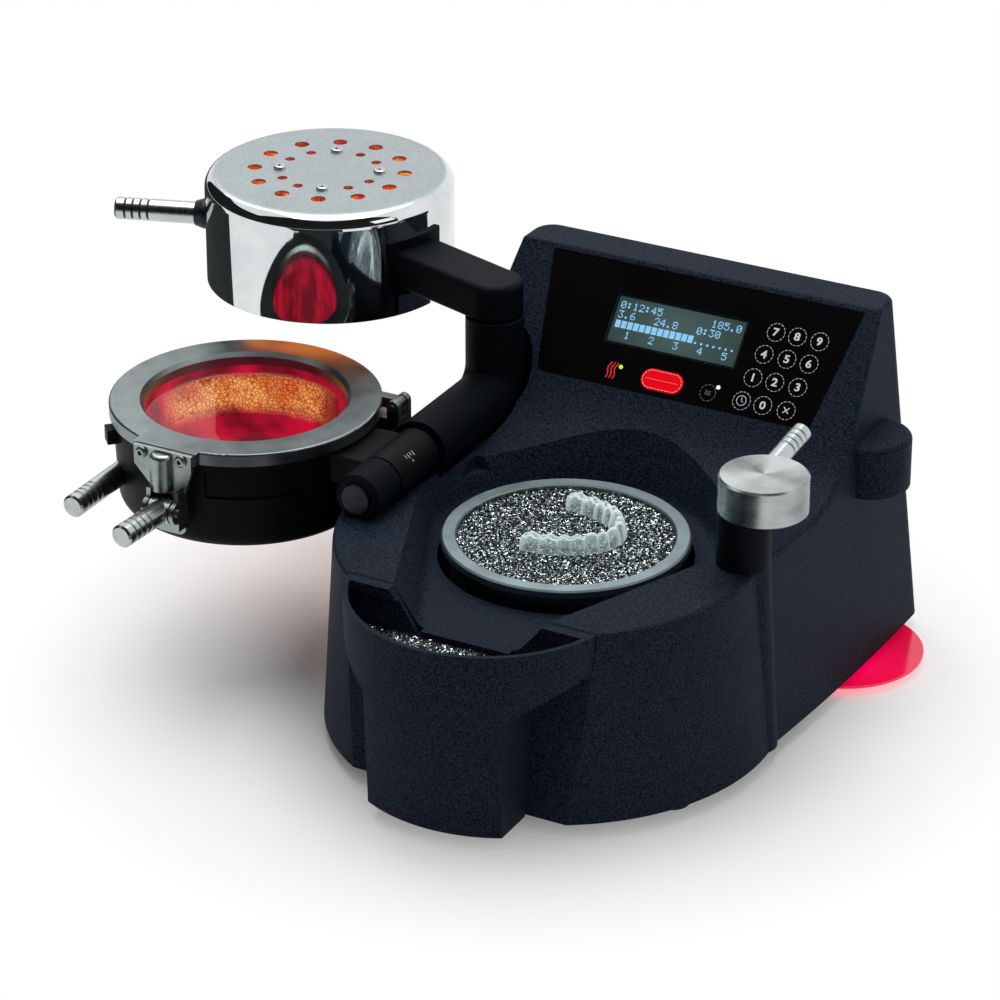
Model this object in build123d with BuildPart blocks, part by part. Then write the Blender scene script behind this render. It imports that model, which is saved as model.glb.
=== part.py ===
"""Dental pressure former: a bench machine that heats a round plastic foil and presses it over a model.

A dark housing carries a display slope, a round recess with the model cup and a granulate tray in front.
A pressure chamber is hinged on the left and flips over onto the cup.  A heater on a swivel arm swings
over the chamber, and an eccentric lock on the right holds the flipped chamber down.

Millimetres, +Z up, +Y to the back, +X to the right, z = 0 on the table.
Plan positions are measured from the axis of the model cup, which stands at (CUP_X, CUP_Y).
"""
from build123d import *
import os
from math import atan2, cos, degrees, radians, sin, sqrt, tan

os.makedirs("parts", exist_ok=True)

# Place of the cup axis, chosen so that the whole machine is centred on the origin in plan.
CUP_X = 96.34
CUP_Y = -26.48

# Housing
WALL = 3.5
BASE_Z = 8.0
DECK_Z = 112.5
TOP_Z = 194.0
SLOPE_ANGLE = 49.7
SLOPE_Y = 152.3
SLOPE_BLEND = 62.0
FACET_Y = -103.5
FACET_LEAN = 13.5 / 104.5

# Recess and cup
FLOOR_Z = 93.0
WELL_Z = 54.0
WELL_R = 67.0
RIM_Z = 105.0
CUP_R = 65.0
CUP_BORE_R = 57.0
CUP_WALL_R = 60.0

# Chamber hinge on the left, running from front to back
HINGE_X = -96.5
HINGE_Z = 124.0
HINGE_R = 13.0
SHAFT_R = 7.0
COLUMN_Y = 101.0
COLUMN_R = 16.0
COLUMN_TOP = 169.6

# Heater, given along its arm: the arm points 18 degrees behind the left
ARM_ANGLE = 162.0
ARM_Z = 170.0
ARM_HEIGHT = 20.5
ARM_HALF = 15.5
DOME_X = 132.9
DOME_R = 69.6
DOME_Z = 151.4
DOME_TOP = 213.7
DOME_SHEET = 1.4
DOME_CX = HINGE_X + DOME_X * cos(radians(ARM_ANGLE))
DOME_CY = COLUMN_Y + DOME_X * sin(radians(ARM_ANGLE))
REFLECTOR_Z = 176.0
HEATER_GRIP_ANGLE = radians(ARM_ANGLE + 37)
GRIP_R = 6.25
GROOVE_PITCH = 4.4

# Chamber
CHAMBER_X = -193.0
CHAMBER_R = 70.6
CHAMBER_BOTTOM = 83.0
CHAMBER_RIM = 133.0
CHAMBER_BORE_R = 56.0
RING_R = 73.0
RING_BORE_R = 54.4
RING_Z = 134.0
RING_THICK = 7.0
RING_HINGE_X = -119.6
RING_HINGE_Z = 138.0

# Lock on the right
LOCK_X = 100.8
LOCK_Y = 1.1
LOCK_POST_R = 14.1
LOCK_OFFSET = 10.0
KNOB_R = 23.3
KNOB_Z = 144.5
KNOB_HEIGHT = 20.0

# Granulate tray
TRAY_RIM = 112.0
TRAY_WALL = 2.6
TRAY_HALF = 38.5
GRANULATE_Z = 89.6

# Controls on the slope, measured across and down from the middle of its top edge
MEMBRANE = 0.8
BUTTON_RAISE = 0.35
BUTTON_DEPTH = 3.4
KEY_R = 4.7
KEYS = [
    ("key_7", 53.7, 23.5),
    ("key_8", 66.1, 23.5),
    ("key_9", 79.0, 23.5),
    ("key_4", 50.9, 36.6),
    ("key_5", 64.2, 36.6),
    ("key_6", 77.0, 36.6),
    ("key_1", 48.9, 50.3),
    ("key_2", 61.6, 50.3),
    ("key_3", 74.9, 50.3),
    ("key_clock", 46.6, 63.9),
    ("key_0", 59.0, 63.9),
    ("key_clear", 72.6, 63.9),
]
RED_BUTTON = (-0.7, 63.0)
RED_SIZE = (24.5, 11.6)
ROUND_KEY = (26.8, 63.8)
ROUND_KEY_R = 5.2
LAMPS = [(-26.2, 60.2), (31.6, 59.6)]
LAMP_R = 1.1
DISPLAY = (-2.1, 34.0)
DISPLAY_SIZE = (75.8, 26.0)
WINDOW_SIZE = (79.0, 29.0)
BOARD_DEPTH = 8.0

# Back wall
INLET_X = -50.0
INLET_Z = 38.0
ROCKER_X = -34.5
ROCKER_Y = 182.4
AIR_X = 42.0

# Underside
FOIL_X = 103.0
FOIL_Y = 125.0
FOIL_R = 45.0
FEET = [(-95.0, -56.0), (92.0, -58.0), (-104.0, 158.0), (44.0, 168.0), (106.0, 52.0)]
CASE_SCREWS = [(-82.0, -70.0), (80.0, -72.0), (-108.0, 62.0), (84.0, 66.0), (-88.0, 170.0), (14.0, 172.0)]


def level(z, x=0.0, y=0.0):
    """Horizontal plane at height z, with its origin x, y from the cup axis."""
    return Plane(origin=(CUP_X + x, CUP_Y + y, z), x_dir=(1, 0, 0), z_dir=(0, 0, 1))


def facing_right(x):
    """Upright plane across X.  Its own coordinates are Y from the cup axis and Z."""
    return Plane(origin=(CUP_X + x, CUP_Y, 0), x_dir=(0, 1, 0), z_dir=(1, 0, 0))


def facing_front(y, x=0.0):
    """Upright plane across Y.  Its own coordinates are X from x and Z, and it faces the front."""
    return Plane(origin=(CUP_X + x, CUP_Y + y, 0), x_dir=(1, 0, 0), z_dir=(0, -1, 0))


def facing_back(y, x=0.0, z=0.0):
    """Upright plane across Y that faces the back."""
    return Plane(origin=(CUP_X + x, CUP_Y + y, z), x_dir=(-1, 0, 0), z_dir=(0, 1, 0))


def on_slope(depth=0.0):
    """Plane of the display slope, depth below its surface: across is X, up the slope is positive Y."""
    a = radians(SLOPE_ANGLE)
    normal = (0, -sin(a), cos(a))
    origin = (CUP_X, CUP_Y + SLOPE_Y + depth * sin(a), TOP_Z - depth * cos(a))
    return Plane(origin=origin, x_dir=(1, 0, 0), z_dir=normal)


def along_arm(z):
    """Horizontal plane with its origin on the column axis and its x axis along the heater arm."""
    a = radians(ARM_ANGLE)
    return Plane(origin=(CUP_X + HINGE_X, CUP_Y + COLUMN_Y, z), x_dir=(cos(a), sin(a), 0), z_dir=(0, 0, 1))


def upright(x, y):
    """Vertical axis x, y from the cup axis."""
    return Axis((CUP_X + x, CUP_Y + y, 0), (0, 0, 1))


def closed(plane, points):
    """Face bounded by straight lines through the points."""
    with BuildSketch(plane) as outline:
        with BuildLine():
            Polyline(*points, close=True)
        make_face()
    return outline.sketch


def turned(x, y, points):
    """Solid of revolution about the vertical axis at x, y, from points (radius, z)."""
    with BuildPart() as body:
        revolve(closed(facing_front(y, x), points), axis=upright(x, y))
    return body.part


def turned_along(first, direction, points):
    """Solid of revolution about a line from a point, from points (distance, radius)."""
    origin = (CUP_X + first[0], CUP_Y + first[1], first[2])
    plane = Plane(origin=origin, x_dir=direction, z_dir=Vector(direction).cross(Vector(0, 0, 1)))
    with BuildPart() as body:
        revolve(closed(plane, points), axis=Axis(plane.origin, plane.x_dir))
    return body.part


def grip(first, direction, length, radius, grooves):
    """Round steel grip along a direction, with grooves near its far end and a rounded tip."""
    points = [(0, 0), (0, radius)]
    place = length - 2.4 - grooves * GROOVE_PITCH
    for _ in range(grooves):
        points += [(place, radius), (place + 0.25, radius - 0.7)]
        points += [(place + 1.2, radius - 0.7), (place + 1.45, radius)]
        place += GROOVE_PITCH
    points += [(length - 1.1, radius), (length, radius - 1.1), (length, 0)]
    return turned_along(first, direction, points)


def plan_outline(z, inset):
    """Outline of the housing at height z: a round front, gently curved sides and a straight back."""
    t = (z - BASE_Z) / (TOP_Z - BASE_Z)
    radius = 120.3 - 14.7 * t - inset
    centre = -13.5 - 7.1 * t
    half_middle = 123.7 - 16.7 * t - inset
    half_back = 125.2 - 18.7 * t - inset
    back = 184.0 - 7.0 * t - inset
    corner = max(12.0 - inset, 6.0)
    a = radians(10.3)
    side = (radius * cos(a), centre + radius * sin(a))
    with BuildSketch(level(z)) as outline:
        with BuildLine():
            ThreePointArc((-side[0], side[1]), (0, centre - radius), side)
            ThreePointArc(side, (half_middle, 85), (half_back, back - corner))
            CenterArc((half_back - corner, back - corner), corner, 0, 90)
            Line((half_back - corner, back), (corner - half_back, back))
            CenterArc((corner - half_back, back - corner), corner, 90, 90)
            ThreePointArc((-half_back, back - corner), (-half_middle, 85), (-side[0], side[1]))
        make_face()
    return outline.sketch


def facet(z, inset=0.0):
    """Y of the flat front that the tray hangs on, at height z."""
    return FACET_Y + (z - DECK_Z) * FACET_LEAN + inset


def body_block(inset, bottom):
    """The housing's outer form without its openings, made smaller all round by inset."""
    a = radians(SLOPE_ANGLE)
    with BuildPart() as block:
        loft([plan_outline(bottom, inset), plan_outline(200, inset)], ruled=True)
        # Air above the deck, the hollow blend, the slope and the top strip.
        deck = DECK_Z - inset
        top = TOP_Z - inset
        foot_y = SLOPE_Y + inset * sin(a) + (deck - TOP_Z + inset * cos(a)) / tan(a)
        top_y = SLOPE_Y + inset * sin(a) + (top - TOP_Z + inset * cos(a)) / tan(a)
        blend = SLOPE_BLEND + inset
        reach = blend * tan(a / 2)
        start = (foot_y - reach, deck)
        middle = (start[0] + blend * sin(a / 2), deck + blend * (1 - cos(a / 2)))
        end = (foot_y + reach * cos(a), deck + reach * sin(a))
        with BuildSketch(facing_right(-160)) as air:
            with BuildLine():
                Line((-200, deck), start)
                ThreePointArc(start, middle, end)
                Line(end, (top_y, top))
                Line((top_y, top), (260, top))
                Line((260, top), (260, 260))
                Line((260, 260), (-200, 260))
                Line((-200, 260), (-200, deck))
            make_face()
        extrude(amount=320, mode=Mode.SUBTRACT)
        front = [(-200, 0), (facet(0, inset), 0), (facet(200, inset), 200), (-200, 200)]
        extrude(closed(facing_right(-160), front), amount=320, mode=Mode.SUBTRACT)
    return block.part


def recess_outline(z, grow):
    """Recess round the cup at height z: a circle that runs forward into the chute."""
    rise = z - FLOOR_Z
    radius = 78.0 + 0.43 * rise + grow
    mouth = 28.5 + 0.78 * rise + grow
    beyond = mouth - (radius - mouth) / 103.5 * 24.0
    with BuildSketch(level(z)) as outline:
        with BuildLine():
            ThreePointArc((radius, -1), (0, radius), (-radius, -1))
            Line((-radius, -1), (-beyond, -128.5))
            Line((-beyond, -128.5), (beyond, -128.5))
            Line((beyond, -128.5), (radius, -1))
        make_face()
        fillet(outline.vertices().group_by(Axis.Y)[-1], radius=34)
    return outline.sketch


def recess_form(grow):
    """The whole recess as a solid, from its floor up into the air."""
    with BuildPart() as form:
        loft([recess_outline(FLOOR_Z - grow, grow), recess_outline(141, grow)], ruled=True)
        fillet(form.faces().sort_by(Axis.Z)[0].edges(), radius=7.0)
    return form.part


def hinge_space(grow):
    """Room for the hinge line and the column, cut from the left of the deck and the slope."""
    with BuildPart() as space:
        with BuildSketch(facing_front(-27, HINGE_X)):
            with Locations((0, HINGE_Z)):
                Circle(14.6 + grow)
        extrude(amount=-44)
        with BuildSketch(facing_front(16, HINGE_X)):
            with Locations((0, HINGE_Z)):
                Circle(18.5 + grow)
        extrude(amount=-85)
        with BuildSketch(level(104 - grow, HINGE_X, COLUMN_Y)):
            Circle(20.5 + grow)
        extrude(amount=100)
    return space.part


def ring_hinge_space(grow):
    """Room beside the recess for the ring's hinge once the chamber is flipped."""
    with BuildPart() as space:
        with BuildSketch(level(105.4 - grow, -72.0, 36.2)):
            Rectangle(12.4 + 2 * grow, 18.6 + 2 * grow)
        extrude(amount=60)
    return space.part


def tray_outline(z, inset, shift=0.0):
    """Outline of the tray at height z: a round front closed by the flat back."""
    t = (TRAY_RIM - z) / (TRAY_RIM - BASE_Z)
    radius = 72.7 + 10.1 * t - inset
    centre = -86.0 + 17.4 * t
    back = facet(z) - 0.4 - shift
    half = sqrt(radius**2 - (back - centre) ** 2)
    with BuildSketch(level(z)) as outline:
        with BuildLine():
            ThreePointArc((-half, back), (0, centre - radius), (half, back))
            Line((half, back), (-half, back))
        make_face()
    return outline.sketch


SLOPE_OUT = Axis((0, 0, 0), (0, -sin(radians(SLOPE_ANGLE)), cos(radians(SLOPE_ANGLE))))

# Housing shell

recess = recess_form(0)
hinge_room = hinge_space(0)
outer_block = body_block(0, BASE_Z)

with BuildPart() as cavity:
    add(body_block(WALL, BASE_Z - 4))
    add(recess_form(WALL), mode=Mode.SUBTRACT)
    add(hinge_space(WALL), mode=Mode.SUBTRACT)
    add(ring_hinge_space(WALL), mode=Mode.SUBTRACT)
    # The cup well and the screw bosses stay solid.
    with BuildSketch(level(WELL_Z - 4)):
        Circle(WELL_R + WALL)
    extrude(amount=80, mode=Mode.SUBTRACT)
    for boss_x, boss_y in CASE_SCREWS:
        with BuildSketch(level(BASE_Z + 3, boss_x, boss_y)):
            Circle(4.5)
        extrude(amount=200, mode=Mode.SUBTRACT)
    with BuildSketch(level(BASE_Z + 3, LOCK_X, LOCK_Y)):
        Circle(LOCK_POST_R)
    extrude(amount=120, mode=Mode.SUBTRACT)

with BuildPart() as housing_shell:
    add(outer_block)
    # Rounded edges along the deck, the slope and the top.
    crest = housing_shell.edges().filter_by(lambda e: e.center().Z > DECK_Z - 1)
    crest = crest.filter_by(lambda e: abs(e.center().X - CUP_X) > 60 or e.center().Z > TOP_Z - 1)
    crest += housing_shell.edges().filter_by(lambda e: e.center().Y < CUP_Y - 95 and e.center().Z > DECK_Z - 1)
    fillet(crest, radius=2.6)
    # A half round rib leans down the right wall below the lock post.
    with BuildSketch(level(BASE_Z, 108.0, 3.0)):
        Circle(13.0)
    with BuildSketch(level(DECK_Z, LOCK_X, LOCK_Y)):
        Circle(LOCK_POST_R)
    loft(ruled=True)
    add(recess, mode=Mode.SUBTRACT)
    add(hinge_room, mode=Mode.SUBTRACT)
    add(ring_hinge_space(0), mode=Mode.SUBTRACT)
    add(cavity.part, mode=Mode.SUBTRACT)
    # Chute lip that reaches through the tray's back.
    with BuildSketch(level(FLOOR_Z - 2.2)):
        with Locations((0, -104)):
            Rectangle(50, 12)
    extrude(amount=2.2)
    with BuildSketch(level(WELL_Z)):
        Circle(WELL_R)
    extrude(amount=60, mode=Mode.SUBTRACT)
    # Bore for the lock shaft.
    with BuildSketch(level(DECK_Z - 30, LOCK_X, LOCK_Y)):
        Circle(5.05)
    extrude(amount=40, mode=Mode.SUBTRACT)
    # Screw holes in the bosses.
    for boss_x, boss_y in CASE_SCREWS:
        with BuildSketch(level(BASE_Z + 3, boss_x, boss_y)):
            Circle(1.8)
        extrude(amount=16, mode=Mode.SUBTRACT)
    # Shallow bed of the membrane, and the openings under it.
    with BuildSketch(on_slope(MEMBRANE)):
        with BuildLine():
            Polyline((-86.2, -2.8), (98.8, -2.8), (87.9, -72.0), (-73.4, -72.0), close=True)
        make_face()
    extrude(amount=5, mode=Mode.SUBTRACT)
    with BuildSketch(on_slope(WALL + 1)):
        with Locations((DISPLAY[0], -DISPLAY[1])):
            Rectangle(*DISPLAY_SIZE)
        for _, key_x, key_down in KEYS:
            with Locations((key_x, -key_down)):
                Circle(KEY_R + 0.6)
        with Locations((RED_BUTTON[0], -RED_BUTTON[1])):
            SlotOverall(RED_SIZE[0] + 1.2, RED_SIZE[1] + 1.2)
        with Locations((ROUND_KEY[0], -ROUND_KEY[1])):
            Circle(ROUND_KEY_R + 0.6)
    extrude(amount=6, mode=Mode.SUBTRACT)
    # Openings in the back wall for the inlet module and the air fitting.
    with BuildSketch(facing_back(170, INLET_X, INLET_Z)):
        Rectangle(51.2, 20.2)
    extrude(amount=30, mode=Mode.SUBTRACT)
    with BuildSketch(facing_back(170, AIR_X, INLET_Z)):
        Circle(6.1)
    extrude(amount=30, mode=Mode.SUBTRACT)
housing_shell.part.label = "housing_shell"
export_step(housing_shell.part, "parts/housing_shell.step")

# Base plate with the rails that hold the spare foil

with BuildPart() as base_plate:
    extrude(plan_outline(BASE_Z, WALL + 0.5), amount=3)
    with BuildSketch(level(0)):
        with Locations((0, -160)):
            Rectangle(200, 2 * (160 + facet(BASE_Z, WALL + 0.4)))
    extrude(amount=20, mode=Mode.SUBTRACT)
    for screw_x, screw_y in CASE_SCREWS:
        with BuildSketch(level(BASE_Z, screw_x, screw_y)):
            Circle(2.1)
        extrude(amount=3, mode=Mode.SUBTRACT)
    with BuildSketch(level(BASE_Z, 86, 125)):
        Rectangle(30, 18)
    extrude(amount=3, mode=Mode.SUBTRACT)
    for side in (-1, 1):
        with BuildSketch(level(2.0, 84, FOIL_Y + side * 47.6)):
            Rectangle(54, 4.0)
        extrude(amount=BASE_Z - 2.0)
        with BuildSketch(level(2.0, 84, FOIL_Y + side * 43.6)):
            Rectangle(54, 4.2)
        extrude(amount=1.4)
base_plate.part.label = "base_plate"
export_step(base_plate.part, "parts/base_plate.step")

with BuildPart() as rubber_feet:
    for foot_x, foot_y in FEET:
        add(turned(foot_x, foot_y, [(3.5, 0), (9.0, 0), (10.0, 1.2), (10.8, BASE_Z), (0, BASE_Z), (0, 3), (3.5, 3)]))
rubber_feet.part.label = "rubber_feet"
export_step(rubber_feet.part, "parts/rubber_feet.step")

with BuildPart() as case_screws:
    for screw_x, screw_y in CASE_SCREWS:
        head = [(0, 6.0), (3.2, 6.0), (3.8, 6.8), (3.8, 8.0), (1.8, 8.0), (1.8, 22.0), (1.0, 24.0), (0, 24.0)]
        add(turned(screw_x, screw_y, head))
        with BuildSketch(level(6.0, screw_x, screw_y)):
            Rectangle(4.4, 0.9)
            Rectangle(0.9, 4.4)
        extrude(amount=1.2, mode=Mode.SUBTRACT)
case_screws.part.label = "case_screws"
export_step(case_screws.part, "parts/case_screws.step")

with BuildPart() as scan_lamp:
    with BuildSketch(level(6.6, 86, 125)):
        Rectangle(29.8, 17.8)
    extrude(amount=6.4)
scan_lamp.part.label = "scan_lamp"
export_step(scan_lamp.part, "parts/scan_lamp.step")

with BuildPart() as foil_disc:
    with BuildSketch(level(3.6, FOIL_X, FOIL_Y)):
        Circle(FOIL_R)
    extrude(amount=1.5)
    fillet(foil_disc.edges(), radius=0.4)
foil_disc.part.label = "foil_disc"
export_step(foil_disc.part, "parts/foil_disc.step")

# Display slope

with BuildPart() as panel_membrane:
    with BuildSketch(on_slope(MEMBRANE)) as face:
        with BuildLine():
            Polyline((-86.0, -3.0), (98.6, -3.0), (87.7, -71.8), (-73.2, -71.8), close=True)
        make_face()
        fillet(face.vertices().group_by(Axis.Y)[0], radius=7)
        fillet(face.vertices().group_by(Axis.Y)[-1], radius=1.5)
        with Locations((DISPLAY[0], -DISPLAY[1])):
            Rectangle(*WINDOW_SIZE, mode=Mode.SUBTRACT)
        for _, key_x, key_down in KEYS:
            with Locations((key_x, -key_down)):
                Circle(KEY_R + 0.3, mode=Mode.SUBTRACT)
        with Locations((RED_BUTTON[0], -RED_BUTTON[1])):
            SlotOverall(RED_SIZE[0] + 0.6, RED_SIZE[1] + 0.6, mode=Mode.SUBTRACT)
        with Locations((ROUND_KEY[0], -ROUND_KEY[1])):
            Circle(ROUND_KEY_R + 0.3, mode=Mode.SUBTRACT)
        for lamp_x, lamp_down in LAMPS:
            with Locations((lamp_x, -lamp_down)):
                Circle(LAMP_R, mode=Mode.SUBTRACT)
    extrude(amount=MEMBRANE)
panel_membrane.part.label = "panel_membrane"
export_step(panel_membrane.part, "parts/panel_membrane.step")

with BuildPart() as display_window:
    with BuildSketch(on_slope(MEMBRANE)):
        with Locations((DISPLAY[0], -DISPLAY[1])):
            Rectangle(WINDOW_SIZE[0] - 0.1, WINDOW_SIZE[1] - 0.1)
    extrude(amount=MEMBRANE)
display_window.part.label = "display_window"
export_step(display_window.part, "parts/display_window.step")

with BuildPart() as display_module:
    with BuildSketch(on_slope(BOARD_DEPTH)):
        with Locations((DISPLAY[0], -DISPLAY[1])):
            Rectangle(84, 34)
    extrude(amount=BOARD_DEPTH - WALL)
    with BuildSketch(on_slope(WALL)):
        with Locations((DISPLAY[0], -DISPLAY[1])):
            Rectangle(DISPLAY_SIZE[0] - 0.4, DISPLAY_SIZE[1] - 0.4)
    extrude(amount=WALL - MEMBRANE - 0.5)
display_module.part.label = "display_module"
export_step(display_module.part, "parts/display_module.step")

with BuildPart() as circuit_board:
    with BuildSketch(on_slope(BOARD_DEPTH + 1.6)):
        with Locations((8, -42)):
            Rectangle(150, 58)
    extrude(amount=1.6)
    # A dome contact stands under every key.
    with BuildSketch(on_slope(BOARD_DEPTH)):
        for _, key_x, key_down in KEYS:
            with Locations((key_x, -key_down)):
                Circle(2.6)
        with Locations((RED_BUTTON[0], -RED_BUTTON[1])):
            Circle(2.6)
        with Locations((ROUND_KEY[0], -ROUND_KEY[1])):
            Circle(2.6)
    extrude(amount=BOARD_DEPTH - BUTTON_DEPTH - 0.8)
    with BuildSketch(on_slope(BOARD_DEPTH)):
        with Locations((-62, -18), (78, -14.5), (-62, -66), (82, -57)):
            Circle(2.6)
    extrude(amount=BOARD_DEPTH - WALL)
circuit_board.part.label = "circuit_board"
export_step(circuit_board.part, "parts/circuit_board.step")

def push_button(shape):
    """Button cap that fills the given shape in the slope and stands a little proud of it."""
    with BuildPart() as cap:
        extrude(shape, amount=BUTTON_DEPTH + BUTTON_RAISE)
        fillet(cap.faces().sort_by(SLOPE_OUT)[-1].edges(), radius=0.3)
    return cap.part


for key_name, key_x, key_down in KEYS:
    with BuildSketch(on_slope(BUTTON_DEPTH)) as key_shape:
        with Locations((key_x, -key_down)):
            Circle(KEY_R)
    with BuildPart() as key:
        add(push_button(key_shape.sketch))
    key.part.label = key_name
    export_step(key.part, "parts/" + key_name + ".step")

with BuildSketch(on_slope(BUTTON_DEPTH)) as red_shape:
    with Locations((RED_BUTTON[0], -RED_BUTTON[1])):
        SlotOverall(*RED_SIZE)
with BuildPart() as red_button:
    add(push_button(red_shape.sketch))
red_button.part.label = "red_button"
export_step(red_button.part, "parts/red_button.step")

with BuildSketch(on_slope(BUTTON_DEPTH)) as round_shape:
    with Locations((ROUND_KEY[0], -ROUND_KEY[1])):
        Circle(ROUND_KEY_R)
with BuildPart() as round_key:
    add(push_button(round_shape.sketch))
round_key.part.label = "round_key"
export_step(round_key.part, "parts/round_key.step")

with BuildPart() as signal_lamps:
    with BuildSketch(on_slope(MEMBRANE)):
        for lamp_x, lamp_down in LAMPS:
            with Locations((lamp_x, -lamp_down)):
                Circle(LAMP_R)
    extrude(amount=MEMBRANE + 0.25)
signal_lamps.part.label = "signal_lamps"
export_step(signal_lamps.part, "parts/signal_lamps.step")

# Boss on the right wall

with BuildPart() as side_boss:
    with BuildSketch(level(104, 113.0, 131)):
        Circle(22)
    extrude(amount=29.5)
    fillet(side_boss.faces().sort_by(Axis.Z)[-1].edges(), radius=3)
    fillet(side_boss.faces().sort_by(Axis.Z)[0].edges(), radius=1)
    add(outer_block, mode=Mode.SUBTRACT)
side_boss.part.label = "side_boss"
export_step(side_boss.part, "parts/side_boss.step")

# Hinge line and column on the left

with BuildPart() as bearing_block:
    with BuildSketch(facing_front(-26.0, HINGE_X)):
        with Locations((0, HINGE_Z)):
            Circle(HINGE_R)
    extrude(amount=24)
    chamfer(bearing_block.faces().sort_by(Axis.Y)[0].edges(), length=1.6)
    # Flat foot on the deck.
    with BuildSketch(level(100, HINGE_X, -38)):
        Rectangle(40, 40)
    extrude(amount=DECK_Z - 100, mode=Mode.SUBTRACT)
    with BuildSketch(facing_front(-20.0, HINGE_X)):
        with Locations((0, HINGE_Z)):
            Circle(SHAFT_R)
    extrude(amount=40, mode=Mode.SUBTRACT)
bearing_block.part.label = "bearing_block"
export_step(bearing_block.part, "parts/bearing_block.step")

with BuildPart() as hinge_shaft:
    with BuildSketch(facing_front(34.0, HINGE_X)):
        with Locations((0, HINGE_Z)):
            Circle(SHAFT_R)
    extrude(amount=84)
    with BuildSketch(facing_front(-50.0, HINGE_X)):
        with Locations((0, HINGE_Z)):
            Circle(8.4)
    extrude(amount=1.6)
    chamfer(hinge_shaft.faces().sort_by(Axis.Y)[0].edges(), length=0.5)
hinge_shaft.part.label = "hinge_shaft"
export_step(hinge_shaft.part, "parts/hinge_shaft.step")

with BuildPart() as support_tube:
    with BuildLine(facing_right(HINGE_X)):
        Line((17, HINGE_Z), (COLUMN_Y - 17, HINGE_Z))
        CenterArc((COLUMN_Y - 17, HINGE_Z + 17), 17, -90, 90)
        Line((COLUMN_Y, HINGE_Z + 17), (COLUMN_Y, COLUMN_TOP))
    with BuildSketch(facing_front(17.0, HINGE_X)):
        with Locations((0, HINGE_Z)):
            Circle(COLUMN_R)
    sweep()
    # Round foot under the elbow.
    with BuildSketch(level(104, HINGE_X, COLUMN_Y)):
        Circle(15)
    extrude(amount=HINGE_Z + 10 - 104)
    with BuildSketch(facing_front(34.0, HINGE_X)):
        with Locations((0, HINGE_Z)):
            Circle(SHAFT_R)
    extrude(amount=30, mode=Mode.SUBTRACT)
    with BuildSketch(level(145, HINGE_X, COLUMN_Y)):
        Circle(8)
    extrude(amount=40, mode=Mode.SUBTRACT)
    chamfer(support_tube.faces().sort_by(Axis.Z)[-1].edges(), length=0.8)
support_tube.part.label = "support_tube"
export_step(support_tube.part, "parts/support_tube.step")

with BuildPart() as swivel_pin:
    with BuildSketch(level(145, HINGE_X, COLUMN_Y)):
        Circle(8)
    extrude(amount=40)
swivel_pin.part.label = "swivel_pin"
export_step(swivel_pin.part, "parts/swivel_pin.step")

# Heater

with BuildPart() as heater_arm:
    with BuildSketch(along_arm(ARM_Z)):
        Circle(ARM_HALF)
        with Locations((36, 0)):
            Rectangle(72, 2 * ARM_HALF)
    extrude(amount=ARM_HEIGHT)
    fillet(heater_arm.faces().sort_by(Axis.Z)[-1].edges(), radius=3.6)
    fillet(heater_arm.faces().sort_by(Axis.Z)[0].edges(), radius=2.4)
    with BuildSketch(along_arm(ARM_Z)):
        Circle(8.05)
    extrude(amount=15.6, mode=Mode.SUBTRACT)
    with BuildSketch(along_arm(ARM_Z - 5)):
        with Locations((DOME_X, 0)):
            Circle(DOME_R + 2.0)
    extrude(amount=40, mode=Mode.SUBTRACT)
heater_arm.part.label = "heater_arm"
export_step(heater_arm.part, "parts/heater_arm.step")

with BuildPart() as arm_bracket:
    with BuildSketch(along_arm(ARM_Z - 6)):
        with Locations((DOME_X, 0)):
            Circle(DOME_R + 2.0)
            Circle(DOME_R, mode=Mode.SUBTRACT)
        with Locations((DOME_X - DOME_R, 0)):
            Rectangle(24, 38, mode=Mode.INTERSECT)
    extrude(amount=32)
arm_bracket.part.label = "arm_bracket"
export_step(arm_bracket.part, "parts/arm_bracket.step")

with BuildPart() as heater_dome:
    with BuildSketch(along_arm(DOME_Z)):
        with Locations((DOME_X, 0)):
            Circle(DOME_R)
    extrude(amount=DOME_TOP - DOME_Z)
    fillet(heater_dome.faces().sort_by(Axis.Z)[-1].edges(), radius=8)
    offset(amount=-DOME_SHEET, openings=heater_dome.faces().sort_by(Axis.Z)[0])
    with BuildSketch(along_arm(DOME_TOP - 5)):
        with Locations((DOME_X, 0)):
            with PolarLocations(42, 12, start_angle=10):
                Circle(4.1)
            # Eight small holes, with a screw in place of every third one.
            for quarter in range(4):
                with PolarLocations(28, 2, start_angle=70 + 90 * quarter, angular_range=30, endpoint=True):
                    Circle(2.8)
            with PolarLocations(28, 4, start_angle=40):
                Circle(1.6)
    extrude(amount=8, mode=Mode.SUBTRACT)
heater_dome.part.label = "heater_dome"
export_step(heater_dome.part, "parts/heater_dome.step")

with BuildPart() as dome_screws:
    with BuildSketch(along_arm(REFLECTOR_Z)):
        with Locations((DOME_X, 0)):
            with PolarLocations(28, 4, start_angle=40):
                Circle(1.6)
    extrude(amount=DOME_TOP - REFLECTOR_Z)
    with BuildSketch(along_arm(DOME_TOP)):
        with Locations((DOME_X, 0)):
            with PolarLocations(28, 4, start_angle=40):
                Circle(3.4)
    extrude(amount=1.9)
    fillet(dome_screws.faces().group_by(Axis.Z)[-1].edges(), radius=0.9)
    with BuildSketch(along_arm(DOME_TOP + 0.9)):
        with Locations((DOME_X, 0)):
            with PolarLocations(28, 4, start_angle=40):
                Rectangle(3.6, 0.7)
                Rectangle(0.7, 3.6)
    extrude(amount=2, mode=Mode.SUBTRACT)
dome_screws.part.label = "dome_screws"
export_step(dome_screws.part, "parts/dome_screws.step")

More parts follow.
